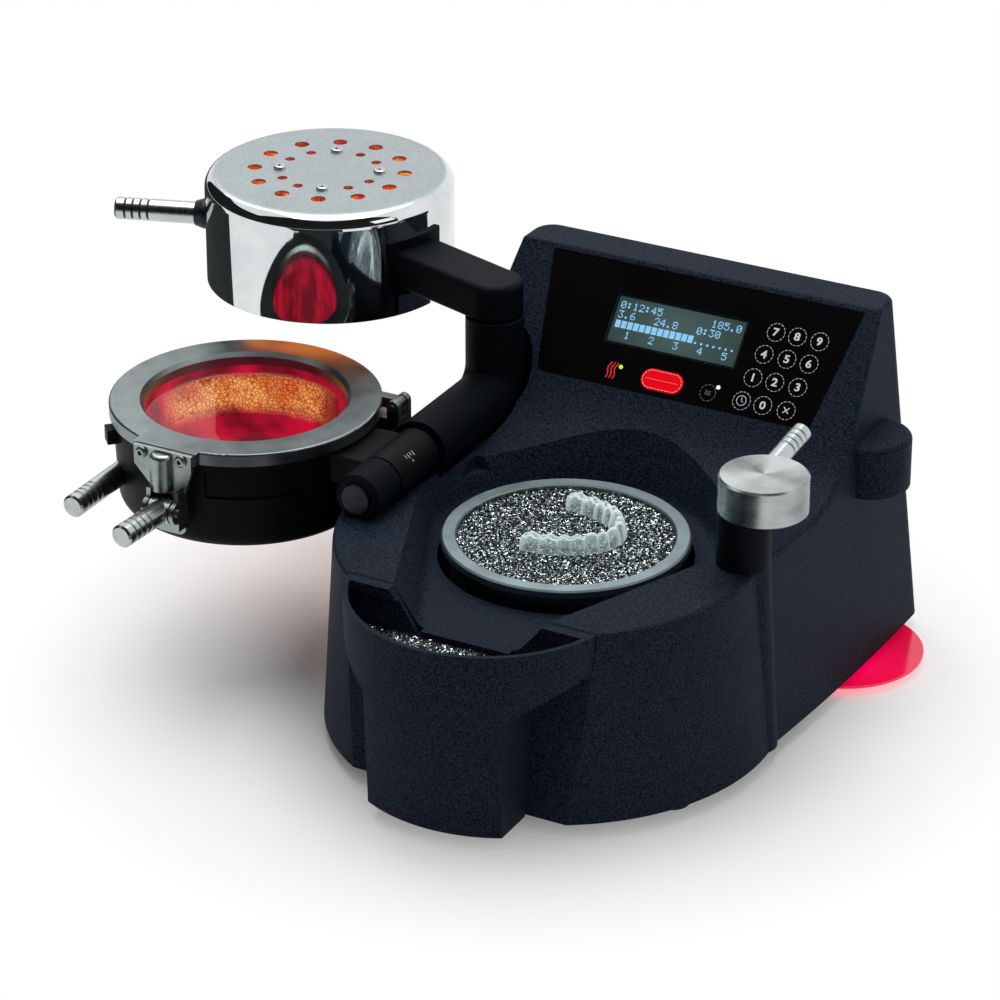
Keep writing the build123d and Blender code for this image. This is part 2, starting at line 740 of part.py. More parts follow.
with BuildPart() as heater_reflector:
    dish = [(0, REFLECTOR_Z), (60, REFLECTOR_Z), (67, 168), (67, 156), (66, 156), (66, 167.6), (59.5, 175), (0, 175)]
    add(turned(DOME_CX, DOME_CY, dish))
heater_reflector.part.label = "heater_reflector"
export_step(heater_reflector.part, "parts/heater_reflector.step")

with BuildPart() as heating_elements:
    for ring_r in (24.0, 46.0):
        with BuildSketch(facing_front(DOME_CY, DOME_CX)):
            with Locations((ring_r, 166.5)):
                Circle(4)
        revolve(axis=upright(DOME_CX, DOME_CY))
        with BuildSketch(level(168, DOME_CX, DOME_CY)):
            with PolarLocations(ring_r, 3):
                Circle(1.5)
        extrude(amount=7)
heating_elements.part.label = "heating_elements"
export_step(heating_elements.part, "parts/heating_elements.step")

grip_out = (cos(HEATER_GRIP_ANGLE), sin(HEATER_GRIP_ANGLE), 0)


def beside_dome(distance):
    """Point at the height of the heater's grip, at a distance from the dome's axis."""
    return (DOME_CX + distance * grip_out[0], DOME_CY + distance * grip_out[1], 183.0)


with BuildPart() as heater_grip_root:
    add(turned_along(beside_dome(66), grip_out, [(0, 0), (0, 8.6), (6, 8.6), (10.8, 7.0), (10.8, 0)]))
    add(turned(DOME_CX, DOME_CY, [(0, 160), (DOME_R, 160), (DOME_R, 206), (0, 206)]), mode=Mode.SUBTRACT)
heater_grip_root.part.label = "heater_grip_root"
export_step(heater_grip_root.part, "parts/heater_grip_root.step")

with BuildPart() as heater_grip:
    add(grip(beside_dome(76.8), grip_out, 46, GRIP_R, 4))
heater_grip.part.label = "heater_grip"
export_step(heater_grip.part, "parts/heater_grip.step")

# Pressure chamber

with BuildPart() as chamber_body:
    wall = [
        (0, CHAMBER_BOTTOM),
        (69.0, CHAMBER_BOTTOM),
        (CHAMBER_R, 120),
        (CHAMBER_R, CHAMBER_RIM),
        (CHAMBER_BORE_R, CHAMBER_RIM),
        (CHAMBER_BORE_R, 92),
        (0, 92),
    ]
    add(turned(CHAMBER_X, 0, wall))
    fillet(chamber_body.faces().sort_by(Axis.Z)[0].edges(), radius=9)
    # Arm and knuckle on the hinge line.
    with BuildSketch(facing_front(14.6, HINGE_X)):
        with Locations((0, HINGE_Z)):
            Circle(HINGE_R)
        with Locations((-20, HINGE_Z)):
            Rectangle(40, 16)
    extrude(amount=39.2)
    with BuildSketch(level(CHAMBER_RIM - 20, CHAMBER_X)):
        Circle(CHAMBER_BORE_R)
    extrude(amount=40, mode=Mode.SUBTRACT)
    # Groove for the seal.
    with BuildSketch(level(CHAMBER_RIM - 1.8, CHAMBER_X)):
        Circle(63.5)
        Circle(59.5, mode=Mode.SUBTRACT)
    extrude(amount=2, mode=Mode.SUBTRACT)
    with BuildSketch(facing_front(20, HINGE_X)):
        with Locations((0, HINGE_Z)):
            Circle(SHAFT_R + 0.06)
    extrude(amount=60, mode=Mode.SUBTRACT)
    # Seat for the lock disc on the far side.
    with BuildSketch(level(CHAMBER_BOTTOM - 1, 2 * HINGE_X - (LOCK_X - LOCK_OFFSET), LOCK_Y)):
        Circle(KNOB_R + 1.5)
    extrude(amount=21.7, mode=Mode.SUBTRACT)
    # Long shallow panel sunk into the wall.
    with BuildSketch(level(113.5, CHAMBER_X)):
        Circle(74)
        Circle(69.0, mode=Mode.SUBTRACT)
        Polygon((0, 0), (120 * cos(radians(-77)), 120 * sin(radians(-77))),
                (120 * cos(radians(-36)), 120 * sin(radians(-36))), align=None, mode=Mode.INTERSECT)
    extrude(amount=15, mode=Mode.SUBTRACT)
    # Small stop lug under the ring.
    a = radians(223)
    lug_plane = Plane(
        origin=(CUP_X + CHAMBER_X + 68 * cos(a), CUP_Y + 68 * sin(a), 123),
        x_dir=(cos(a), sin(a), 0),
        z_dir=(0, 0, 1),
    )
    with BuildSketch(lug_plane):
        with Locations((4, 0)):
            Rectangle(8, 9)
    extrude(amount=8)
chamber_body.part.label = "chamber_body"
export_step(chamber_body.part, "parts/chamber_body.step")

with BuildPart() as chamber_seal:
    low = CHAMBER_RIM - 1.8
    high = CHAMBER_RIM + 0.2
    add(turned(CHAMBER_X, 0, [(59.6, low), (63.4, low), (63.4, high - 0.3), (63.1, high), (59.9, high), (59.6, high - 0.3)]))
chamber_seal.part.label = "chamber_seal"
export_step(chamber_seal.part, "parts/chamber_seal.step")

with BuildPart() as clamped_foil:
    with BuildSketch(level(CHAMBER_RIM + 0.2, CHAMBER_X)):
        Circle(62.5)
    extrude(amount=0.75)
clamped_foil.part.label = "clamped_foil"
export_step(clamped_foil.part, "parts/clamped_foil.step")

with BuildPart() as clamp_ring:
    with BuildSketch(level(RING_Z, CHAMBER_X)):
        Circle(RING_R)
        # Flat pad for the latch bracket.
        with Locations((-4, -70)):
            Rectangle(38, 10)
    extrude(amount=RING_THICK)
    with BuildSketch(level(RING_Z, CHAMBER_X)):
        Circle(RING_BORE_R)
    extrude(amount=RING_THICK, mode=Mode.SUBTRACT)
    bore_edge = clamp_ring.edges().filter_by(GeomType.CIRCLE).group_by(Axis.Z)[-1].sort_by(SortBy.RADIUS)[0]
    chamfer(bore_edge, length=2.2)
    rim_edge = clamp_ring.edges().filter_by(GeomType.CIRCLE).group_by(Axis.Z)[-1].sort_by(SortBy.RADIUS)[-1]
    fillet(rim_edge, radius=1.0)
    # Hinge tab.
    with BuildSketch(facing_front(39.0)):
        with Locations((RING_HINGE_X, RING_HINGE_Z)):
            Circle(3.0)
        with Locations((RING_HINGE_X - 6, RING_HINGE_Z)):
            Rectangle(12, 6)
    extrude(amount=6)
    with BuildSketch(facing_front(45.0)):
        with Locations((RING_HINGE_X, RING_HINGE_Z)):
            Circle(1.56)
    extrude(amount=20, mode=Mode.SUBTRACT)
clamp_ring.part.label = "clamp_ring"
export_step(clamp_ring.part, "parts/clamp_ring.step")

with BuildPart() as ring_hinge:
    for cheek_y in (32.5, 43.0):
        with BuildSketch(facing_front(cheek_y)):
            with Locations((RING_HINGE_X, RING_HINGE_Z)):
                Circle(3.6)
            with Locations((RING_HINGE_X, RING_HINGE_Z - 8)):
                Rectangle(7.2, 16)
            with Locations((RING_HINGE_X - 8, 126)):
                Rectangle(23.2, 10)
        extrude(amount=3.5)
    with BuildSketch(facing_front(43.0)):
        with Locations((RING_HINGE_X - 8, 126)):
            Rectangle(23.2, 10)
    extrude(amount=12)
    add(turned(CHAMBER_X, 0, [(0, 110), (CHAMBER_R, 110), (CHAMBER_R, 140), (0, 140)]), mode=Mode.SUBTRACT)
    with BuildSketch(facing_front(44.2)):
        with Locations((RING_HINGE_X, RING_HINGE_Z)):
            Circle(1.5)
    extrude(amount=16.4)
ring_hinge.part.label = "ring_hinge"
export_step(ring_hinge.part, "parts/ring_hinge.step")

with BuildPart() as chamber_grip:
    add(grip((-242, -45, 105), (0, -1, 0), 51, GRIP_R, 4))
    add(turned(CHAMBER_X, 0, wall), mode=Mode.SUBTRACT)
chamber_grip.part.label = "chamber_grip"
export_step(chamber_grip.part, "parts/chamber_grip.step")

# Latch on the front of the ring

with BuildPart() as latch_bracket:
    shape = [(-214, 140.5), (-179, 140.5), (-179, 131), (-183.5, 118), (-183.5, 94), (-202.8, 94)]
    shape += [(-202.8, 118), (-214, 130)]
    extrude(closed(facing_front(-75.0), shape), amount=3)
    fillet(latch_bracket.edges().filter_by(Axis.Y).group_by(Axis.Z)[0], 4.5)
    with BuildSketch(level(118.8, -197, -77.4)):
        Circle(6.6)
        with Locations((0, 8)):
            Rectangle(20, 11.2, mode=Mode.SUBTRACT)
    extrude(amount=20.4)
    fillet(latch_bracket.edges().filter_by(GeomType.CIRCLE).group_by(Axis.Z)[-1], 2.5)
    for cheek_x in (-202.8, -186.0):
        with BuildSketch(facing_right(cheek_x)):
            with Locations((-84.6, 110)):
                Circle(6)
            with Locations((-81, 110)):
                Rectangle(7.2, 22)
        extrude(amount=2.5)
    with BuildSketch(facing_right(-203.6)):
        with Locations((-84.6, 110)):
            Circle(2.4)
    extrude(amount=21)
    for screw_x in (-209.0, -185.0):
        with BuildSketch(facing_front(-70, screw_x)):
            with Locations((0, 137.2)):
                Circle(1.8)
        extrude(amount=10, mode=Mode.SUBTRACT)
latch_bracket.part.label = "latch_bracket"
export_step(latch_bracket.part, "parts/latch_bracket.step")

with BuildPart() as latch_screws:
    for screw_x in (-209.0, -185.0):
        head = [(0, 0), (0, 3.3), (1.3, 3.3), (2.2, 2.2), (2.2, 0)]
        add(turned_along((screw_x, -78, 137.2), (0, -1, 0), head))
        add(turned_along((screw_x, -75, 137.2), (0, -1, 0), [(0, 0), (0, 1.8), (3, 1.8), (3, 0)]))
        with BuildSketch(facing_front(-78.8, screw_x)):
            with Locations((0, 137.2)):
                RegularPolygon(1.5, 6)
        extrude(amount=2, mode=Mode.SUBTRACT)
latch_screws.part.label = "latch_screws"
export_step(latch_screws.part, "parts/latch_screws.step")

with BuildPart() as latch_lever:
    with BuildSketch(facing_right(-199.2)):
        with Locations((-84.6, 110)):
            Circle(6.25)
    extrude(amount=12.4)
    add(grip((-193, -84.6, 110), (-0.06, -1, 0), 37, GRIP_R, 4))
    with BuildSketch(facing_right(-205)):
        with Locations((-84.6, 110)):
            Circle(2.46)
    extrude(amount=24, mode=Mode.SUBTRACT)
latch_lever.part.label = "latch_lever"
export_step(latch_lever.part, "parts/latch_lever.step")

# Eccentric lock

with BuildPart() as lock_post:
    post = [
        (5.05, DECK_Z),
        (LOCK_POST_R, DECK_Z),
        (LOCK_POST_R, KNOB_Z - 1.1),
        (LOCK_POST_R - 0.8, KNOB_Z - 0.3),
        (5.05, KNOB_Z - 0.3),
    ]
    add(turned(LOCK_X, LOCK_Y, post))
lock_post.part.label = "lock_post"
export_step(lock_post.part, "parts/lock_post.step")

knob_disc = turned(
    LOCK_X + LOCK_OFFSET,
    LOCK_Y,
    [
        (0, KNOB_Z),
        (KNOB_R - 0.8, KNOB_Z),
        (KNOB_R, KNOB_Z + 0.8),
        (KNOB_R, KNOB_Z + KNOB_HEIGHT - 1.0),
        (KNOB_R - 1.0, KNOB_Z + KNOB_HEIGHT),
        (0, KNOB_Z + KNOB_HEIGHT),
    ],
)

with BuildPart() as lock_knob:
    add(knob_disc)
    with BuildSketch(level(DECK_Z - 28, LOCK_X, LOCK_Y)):
        Circle(5)
    extrude(amount=KNOB_Z - DECK_Z + 30)
lock_knob.part.label = "lock_knob"
export_step(lock_knob.part, "parts/lock_knob.step")

with BuildPart() as lock_grip:
    add(grip((101, 16, 152.2), (0.03, 1, 0.14), 50, 5.4, 4))
    add(knob_disc, mode=Mode.SUBTRACT)
lock_grip.part.label = "lock_grip"
export_step(lock_grip.part, "parts/lock_grip.step")

# Model cup

with BuildPart() as model_cup:
    cup = [
        (0, WELL_Z + 0.1),
        (66.4, WELL_Z + 0.1),
        (66.4, WELL_Z + 4),
        (CUP_WALL_R, WELL_Z + 6),
        (CUP_WALL_R, 98.4),
        (61.6, 100.0),
        (64.2, 100.0),
        (CUP_R, 100.8),
        (CUP_R, RIM_Z - 0.9),
        (CUP_R - 0.9, RIM_Z),
        (CUP_BORE_R + 0.7, RIM_Z),
        (CUP_BORE_R, RIM_Z - 0.7),
        (CUP_BORE_R, WELL_Z + 6),
        (0, WELL_Z + 6),
    ]
    add(turned(0, 0, cup))
model_cup.part.label = "model_cup"
export_step(model_cup.part, "parts/model_cup.step")

with BuildPart() as cup_granulate:
    with BuildSketch(level(WELL_Z + 6.05)):
        Circle(CUP_BORE_R - 0.05)
    extrude(amount=102.3 - WELL_Z - 6.05)
cup_granulate.part.label = "cup_granulate"
export_step(cup_granulate.part, "parts/cup_granulate.step")

# Clear dental splint on the granulate: thin caps over fourteen teeth along a half ellipse

TEETH = [(10.4, 10.8, 7.8), (10.0, 10.6, 8.2), (7.4, 9.4, 8.7), (7.2, 9.0, 9.1), (7.6, 8.2, 9.9), (6.2, 6.8, 9.3)]
TEETH += [(8.2, 6.8, 9.7)]
ARCH_X = -15.0
ARCH_Y = 6.5
ARCH_LONG = 41.0
ARCH_WIDE = 26.0


def arch_places(lengths):
    """Angle on the half ellipse of the middle of each tooth, by walking along the curve."""
    total = 0.0
    steps = []
    for step in range(1800):
        t = radians(-90 + step * 0.1)
        total += radians(0.1) * sqrt((ARCH_LONG * sin(t)) ** 2 + (ARCH_WIDE * cos(t)) ** 2)
        steps.append((total, t))
    scale = total / sum(lengths)
    places = []
    run = 0.0
    for length in lengths:
        middle = (run + length / 2) * scale
        run += length
        places.append(min(steps, key=lambda s: abs(s[0] - middle))[1])
    return places


both_sides = TEETH + TEETH[::-1]
arch = arch_places([tooth[0] for tooth in both_sides])
with BuildPart() as aligner:
    for shell, mode in ((0.0, Mode.ADD), (0.75, Mode.SUBTRACT)):
        for (long, wide, high), t in zip(both_sides, arch):
            turn = degrees(atan2(ARCH_WIDE * cos(t), -ARCH_LONG * sin(t)))
            with BuildSketch(level(102.35, ARCH_X + ARCH_LONG * cos(t), ARCH_Y + ARCH_WIDE * sin(t))):
                with Locations(Location((0, 0, 0), turn)):
                    Ellipse(long * 0.56 - shell, wide * 0.5 - shell)
            extrude(amount=high - shell, taper=5, mode=mode)
aligner.part.label = "aligner"
export_step(aligner.part, "parts/aligner.step")

# Granulate tray


def under_wings(edge, low, reach):
    """Room on both sides of the tray's pocket, below its wings, as two prisms."""
    with BuildPart() as room:
        for side in (-1, 1):
            shape = [(side * edge, -5), (side * edge, low), (side * 90, low + reach), (side * 90, -5)]
            extrude(closed(facing_front(-80), shape), amount=90)
    return room.part


def tray_filling(bottom, top, clear):
    """The inside of the tray between two heights, clear of its walls."""
    with BuildPart() as filling:
        inside = TRAY_WALL + clear
        low = 7 + TRAY_WALL
        loft([tray_outline(low, inside, inside), tray_outline(TRAY_RIM + 1, inside, inside)], ruled=True)
        with BuildSketch(level(bottom, 0, -130)):
            Rectangle(200, 100)
        extrude(amount=top - bottom, mode=Mode.INTERSECT)
        add(under_wings(TRAY_HALF - inside, 74.6 + clear, (90 - TRAY_HALF + inside) * 0.597), mode=Mode.SUBTRACT)
    return filling.part


with BuildPart() as granulate_tray:
    loft([tray_outline(7, 0), tray_outline(TRAY_RIM, 0)], ruled=True)
    add(under_wings(TRAY_HALF, 73.0, (90 - TRAY_HALF) * 0.597), mode=Mode.SUBTRACT)
    add(tray_filling(7 + TRAY_WALL, TRAY_RIM + 1, 0), mode=Mode.SUBTRACT)
    # Ledge along the back rim.
    ledge = [
        (facet(TRAY_RIM) - 0.4, TRAY_RIM),
        (facet(106) - 0.4, 106),
        (facet(106) - 5.6, 106),
        (facet(TRAY_RIM) - 6.4, TRAY_RIM),
    ]
    extrude(closed(facing_right(-69), ledge), amount=138)
    # Notch for the chute.
    notch = [(-44.8, 114), (-27.6, 90.3), (27.6, 90.3), (44.8, 114)]
    extrude(closed(facing_front(-98), notch), amount=16, mode=Mode.SUBTRACT)
granulate_tray.part.label = "granulate_tray"
export_step(granulate_tray.part, "parts/granulate_tray.step")

with BuildPart() as tray_granulate:
    add(tray_filling(7.05 + TRAY_WALL, GRANULATE_Z, 0.05))
tray_granulate.part.label = "tray_granulate"
export_step(tray_granulate.part, "parts/tray_granulate.step")

# Back wall and inside

with BuildPart() as power_inlet:
    with BuildSketch(facing_back(160, INLET_X, INLET_Z)):
        Rectangle(50.8, 19.8)
    extrude(amount=25)
    with BuildSketch(facing_back(181, INLET_X, INLET_Z)):
        RectangleRounded(60, 27, 2)
    extrude(amount=4.6)
    add(outer_block, mode=Mode.SUBTRACT)
    with BuildSketch(facing_back(160, INLET_X, INLET_Z)):
        Rectangle(50.8, 19.8)
    extrude(amount=24)
    # Socket with three blades.
    with BuildSketch(facing_back(186, INLET_X - 10, INLET_Z)):
        RectangleRounded(25, 16.6, 2)
    extrude(amount=-16, mode=Mode.SUBTRACT)
    with BuildSketch(facing_back(169, INLET_X - 10, INLET_Z)):
        with Locations((-7, -2), (0, 2), (7, -2)):
            Rectangle(2, 4)
    extrude(amount=13)
    # Well for the rocker, with its pivot.
    with BuildSketch(facing_back(190, ROCKER_X, INLET_Z)):
        Rectangle(12.4, 18)
    extrude(amount=-18, mode=Mode.SUBTRACT)
    with BuildSketch(facing_right(ROCKER_X - 7)):
        with Locations((ROCKER_Y, INLET_Z)):
            Circle(1.5)
    extrude(amount=14)
power_inlet.part.label = "power_inlet"
export_step(power_inlet.part, "parts/power_inlet.step")

with BuildPart() as power_switch:
    rocker = []
    for out, up in ((-6.2, -5.2), (1.2, -8.3), (3.0, 0), (4.2, 7.3), (-6.2, 5.2)):
        rocker.append((ROCKER_Y + out, INLET_Z + up))
    extrude(closed(facing_right(ROCKER_X - 5.8), rocker), amount=11.6)
    with BuildSketch(facing_right(ROCKER_X - 8)):
        with Locations((ROCKER_Y, INLET_Z)):
            Circle(1.55)
    extrude(amount=16, mode=Mode.SUBTRACT)
power_switch.part.label = "power_switch"
export_step(power_switch.part, "parts/power_switch.step")

with BuildPart() as inlet_nut:
    add(turned_along((AIR_X, 184, INLET_Z), (0, 1, 0), [(0, 2.4), (0, 8.6), (5.2, 8.6), (6.2, 7.6), (6.2, 2.4)]))
    with BuildSketch(facing_front(180)):
        with Locations((AIR_X, INLET_Z)):
            RegularPolygon(8.9, 6)
    extrude(amount=-20, mode=Mode.INTERSECT)

with BuildPart() as air_inlet:
    stem = [(0, 2.4), (0, 6.0), (13, 6.0), (13, 4.0), (34.5, 4.0), (35.0, 3.5), (35.0, 2.4)]
    add(turned_along((AIR_X, 171, INLET_Z), (0, 1, 0), stem))
    add(inlet_nut.part)
air_inlet.part.label = "air_inlet"
export_step(air_inlet.part, "parts/air_inlet.step")

with BuildPart() as air_valve:
    with BuildSketch(level(BASE_Z + 3, 44, 138)):
        Rectangle(40, 34)
    extrude(amount=36)
    with BuildSketch(level(BASE_Z + 39, 34, 138)):
        Circle(9)
    extrude(amount=26)
    with BuildSketch(level(BASE_Z + 39, 54, 138)):
        Circle(7)
    extrude(amount=18)
air_valve.part.label = "air_valve"
export_step(air_valve.part, "parts/air_valve.step")

with BuildPart() as power_supply:
    with BuildSketch(level(BASE_Z + 3, -50, 120)):
        Rectangle(60, 50)
    extrude(amount=6)
    with BuildSketch(level(BASE_Z + 9, -50, 120)):
        Rectangle(52, 42)
    extrude(amount=46)
    fillet(power_supply.edges().filter_by(Axis.Z), radius=2)
power_supply.part.label = "power_supply"
export_step(power_supply.part, "parts/power_supply.step")

everything = Compound(children=[
    housing_shell.part, granulate_tray.part, heater_dome.part, dome_screws.part, heater_grip.part, foil_disc.part,
    air_inlet.part, rubber_feet.part, chamber_body.part, side_boss.part,
])
box = everything.bounding_box()
print("size", box.size)
print("centre", box.center())
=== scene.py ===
# %% [markdown]
# # A dental pressure former, dressed for its picture
# The machine itself is already built: a CAD program gave every part its exact shape and place.
# Here it gets its looks.  We load the parts, give each one the finish it has on a workbench in
# a dental laboratory, and add the small things that only the eye needs: printed rings and
# numbers on the keys, the characters of the display, thousands of metal grains and the clear
# splint.  Everything is in metres and in the same frame as the CAD parts.

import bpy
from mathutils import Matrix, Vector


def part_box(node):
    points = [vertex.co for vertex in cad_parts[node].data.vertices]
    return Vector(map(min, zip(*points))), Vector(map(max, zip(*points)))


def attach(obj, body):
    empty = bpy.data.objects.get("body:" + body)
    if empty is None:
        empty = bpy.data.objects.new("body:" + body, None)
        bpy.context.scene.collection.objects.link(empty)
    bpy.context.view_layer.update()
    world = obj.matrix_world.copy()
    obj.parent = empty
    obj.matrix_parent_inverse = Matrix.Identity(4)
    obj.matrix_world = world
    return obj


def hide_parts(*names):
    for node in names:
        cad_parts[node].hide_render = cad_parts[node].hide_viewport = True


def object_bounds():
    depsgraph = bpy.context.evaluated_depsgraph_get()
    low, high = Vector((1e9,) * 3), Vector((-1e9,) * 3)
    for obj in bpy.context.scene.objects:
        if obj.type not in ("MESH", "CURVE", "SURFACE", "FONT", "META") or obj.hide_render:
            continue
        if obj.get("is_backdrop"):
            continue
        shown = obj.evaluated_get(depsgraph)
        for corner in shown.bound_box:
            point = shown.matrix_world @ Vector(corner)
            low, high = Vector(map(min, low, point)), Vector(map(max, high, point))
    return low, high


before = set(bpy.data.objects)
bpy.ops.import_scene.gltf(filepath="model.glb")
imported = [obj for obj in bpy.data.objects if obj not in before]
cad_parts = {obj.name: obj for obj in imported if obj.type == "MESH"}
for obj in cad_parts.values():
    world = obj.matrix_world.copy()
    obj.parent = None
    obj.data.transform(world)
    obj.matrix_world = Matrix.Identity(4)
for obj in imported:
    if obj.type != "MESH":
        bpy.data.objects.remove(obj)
cad_low, cad_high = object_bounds()
print("machine measures", [round(side * 1000) for side in cad_high - cad_low], "mm")

# %% Tools used on every page
import math
import random
from functools import cached_property

import bpy
import numpy as np
from mathutils import Matrix, Vector

MM = 0.001


def middle(node):
    """Centre of the box round a CAD part."""
    low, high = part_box(node)
    return (low + high) / 2


def height_of(node):
    """Highest point of a CAD part."""
    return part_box(node)[1].z


cup_axis = middle("model_cup")
chamber_axis = middle("clamped_foil")
print("cup stands at", [round(c * 1000, 1) for c in cup_axis], "mm")

# %% [markdown]
# ## Colours
# A colour read from a screen is not the amount of light that a shader wants.  `paint` takes the
# familiar 0 to 255 values and undoes the screen's curve, so the numbers below can be compared
# with any photograph of such a machine.  Wherever a colour is three numbers, they are screen
# values, and `Finish.node` paints with them.


# %% From screen values to light
def paint(red, green, blue):
    """Linear colour, with an alpha of one, from 0 to 255 screen values."""
    light = []
    for value in (red, green, blue):
        share = value / 255
        light.append(share / 12.92 if share <= 0.04045 else ((share + 0.055) / 1.055) ** 2.4)
    return (*light, 1.0)


WHITE = (255, 255, 255)
BLACK = (0, 0, 0)
print("a middle grey is", round(paint(128, 128, 128)[0], 3), "of full light")

# %% [markdown]
# ## Writing materials as sums
# Blender's materials are graphs of nodes.  Drawing a graph in code is tedious, so a `Wire`
# stands for the output of a node, and the signs + - * on wires add the Math nodes that they
# mean.  A `Finish` is one material: its `node` method adds any other node, with its settings
# first and the values or wires of its sockets after them.


# %% Wires that can be added up
class Wire:
    """The output of a shader node, which plain arithmetic can go on from."""

    def __init__(self, finish, socket):
        self.finish = finish
        self.socket = socket

    def reckon(self, operation, first, second):
        kind = "VectorMath" if self.socket.type == "VECTOR" else "Math"
        return self.finish.node(kind, {"operation": operation}, {0: first, 1: second})

    def __add__(self, other):
        return self.reckon("ADD", self, other)

    def __sub__(self, other):
        return self.reckon("SUBTRACT", self, other)

    def __rsub__(self, other):
        return self.reckon("SUBTRACT", other, self)

    def __mul__(self, other):
        return self.reckon("MULTIPLY", self, other)

    def over(self, limit):
        """One where the number is over the limit, and nothing elsewhere."""
        return self.reckon("GREATER_THAN", self, limit)

    def waves(self):
        """Sine of the number."""
        return self.finish.node("Math", {"operation": "SINE"}, {0: self})

    def root(self):
        """Square root of the number."""
        return self.finish.node("Math", {"operation": "SQRT"}, {0: self})

    def between(self, low, high, start=0.0, end=1.0):
        """The number carried from low..high to start..end, and held there beyond."""
        limits = {0: self, 1: low, 2: high, 3: start, 4: end}
        return self.finish.node("MapRange", {"clamp": True}, limits)


# %% A material under construction
class Finish:
    """One material, or the sky, and the means to wire it."""

    def __init__(self, name, owner=None):
        self.material = owner or bpy.data.materials.new(name)
        self.material.use_nodes = True
        self.tree = self.material.node_tree
        self.tree.nodes.clear()

    def node(self, kind, settings=None, inputs=None, output=0):
        """Adds a node.  Its settings come first, then the values or wires of its sockets."""
        made = self.tree.nodes.new("ShaderNode" + kind)
        for name, value in (settings or {}).items():
            setattr(made, name, value)
        for name, value in (inputs or {}).items():
            socket = made.inputs[name]
            if isinstance(value, Wire):
                self.tree.links.new(value.socket, socket)
            elif socket.type == "VECTOR" and isinstance(value, (int, float)):
                socket.default_value = (value, value, value)
            elif socket.type == "RGBA" and len(value) == 3:
                socket.default_value = paint(*value)
            else:
                socket.default_value = value
        return Wire(self, made.outputs[output])

    @cached_property
    def place(self):
        """Where a point lies, in metres.  It stays with the part when the part moves."""
        return self.node("TexCoord", output=3)

    @cached_property
    def facing(self):
        """Which way the surface faces.  It stays with the part when the part moves."""
        return self.node("TexCoord", output=1)

    def length(self, vector):
        """Length of a vector."""
        return self.node("VectorMath", {"operation": "LENGTH"}, {0: vector}, output=1)

    def reach(self, vector, way):
        """How far a vector reaches along a direction."""
        return self.node("VectorMath", {"operation": "DOT_PRODUCT"}, {0: vector, 1: tuple(way)}, output=1)

    def sides(self, vector):
        """The three coordinates of a vector."""
        split = self.node("SeparateXYZ", inputs={0: vector})
        return [Wire(self, socket) for socket in split.socket.node.outputs]

    def joined(self, x, y, z):
        """A vector from three coordinates."""
        return self.node("CombineXYZ", inputs={0: x, 1: y, 2: z})

    def cloud(self, size, detail=2.0, rough=0.5, at=None):
        """Soft noise whose lumps are about size metres wide, from 0 to 1."""
        values = {"Vector": at or self.place, "Scale": 1 / size, "Detail": detail, "Roughness": rough}
        return self.node("TexNoise", inputs=values)

    def tint(self, first, second, share):
        """Colour between two others."""
        settings = {"data_type": "RGBA", "clamp_factor": True}
        return self.node("Mix", settings, {0: share, 6: first, 7: second}, output=2)

    def relief(self, height, depth, strength=1.0):
        """Surface direction of a relief whose height runs from 0 to 1 over depth metres."""
        values = {"Height": height, "Distance": depth, "Strength": strength}
        return self.node("Bump", inputs=values)

    def show(self, shader, kind="OutputMaterial"):
        """Makes a shader the material's surface."""
        output = self.tree.nodes.new("ShaderNode" + kind)
        self.tree.links.new(shader.socket, output.inputs["Surface"])
        return self

    def coated(self, **looks):
        """The usual surface.  Keywords name its sockets, with _ for a space."""
        values = {}
        for name, value in looks.items():
            title = name.replace("_", " ").title().replace("Ior", "IOR")
            values[title] = value
        return self.show(self.node("BsdfPrincipled", inputs=values))

    def mixed(self, share, first, second):
        """A surface that is part one shader and part another."""
        return self.show(self.node("MixShader", inputs={0: share, 1: first, 2: second}))

    def lit(self, colour, glow, **looks):
        """A surface that also gives off a little light of its own colour."""
        return self.coated(base_color=colour, emission_color=colour, emission_strength=glow, **looks)


def dress(finish, *nodes):
    """Gives CAD parts a finish, and says so."""
    for name in nodes:
        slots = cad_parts[name].data.materials
        slots.clear()
        slots.append(finish.material)
    print(finish.material.name, "on", *nodes)


# %% [markdown]
# ## The black casing
# The casing has a structured paint: nearly black, a little blue, and so fine in its grain that
# it breaks up every reflection.  Noise needs no picture and has no seams.  One fine cloud gives
# the grain, as a relief and as a speckle, and a wide one keeps large faces from looking flat.


# %% Structured paint
def structured_paint(name, dark, light, grain, roughness):
    """Matt paint with a fine grain, grain metres wide."""
    finish = Finish(name)
    fine = finish.cloud(grain, 2.0, 0.6)
    wide = finish.cloud(60 * MM, 1.0)
    return finish.coated(
        base_color=finish.tint(dark, light, fine.between(0.38, 0.64) * 0.85 + wide * 0.15),
        roughness=fine.between(0.3, 0.7) * 0.16 + roughness,
        specular_ior_level=0.05,
        normal=finish.relief(fine, 0.22 * MM, 0.9),
    )


casing_paint = structured_paint("casing_paint", (1, 3, 7), (45, 56, 73), 0.95 * MM, 0.5)
dress(casing_paint, "housing_shell", "side_boss", "granulate_tray")
tube_paint = structured_paint("tube_paint", (2, 4, 7), (18, 23, 31), 0.5 * MM, 0.42)
dress(tube_paint, "bearing_block", "support_tube", "heater_arm", "arm_bracket", "lock_post")

# %% [markdown]
# ## Turned and brushed steel
# The grips, the locking disc, the clamping ring and the cup were turned on a lathe, whose tool
# leaves hair-fine rings.  So the noise is asked not at the point itself but at its distance from
# the axis and its place along it: that draws rings on the ends and bands on the sides.

# %% Steel with the marks of the lathe
TOOL_MARK = 0.16 * MM
HAND_MARK = 14 * MM


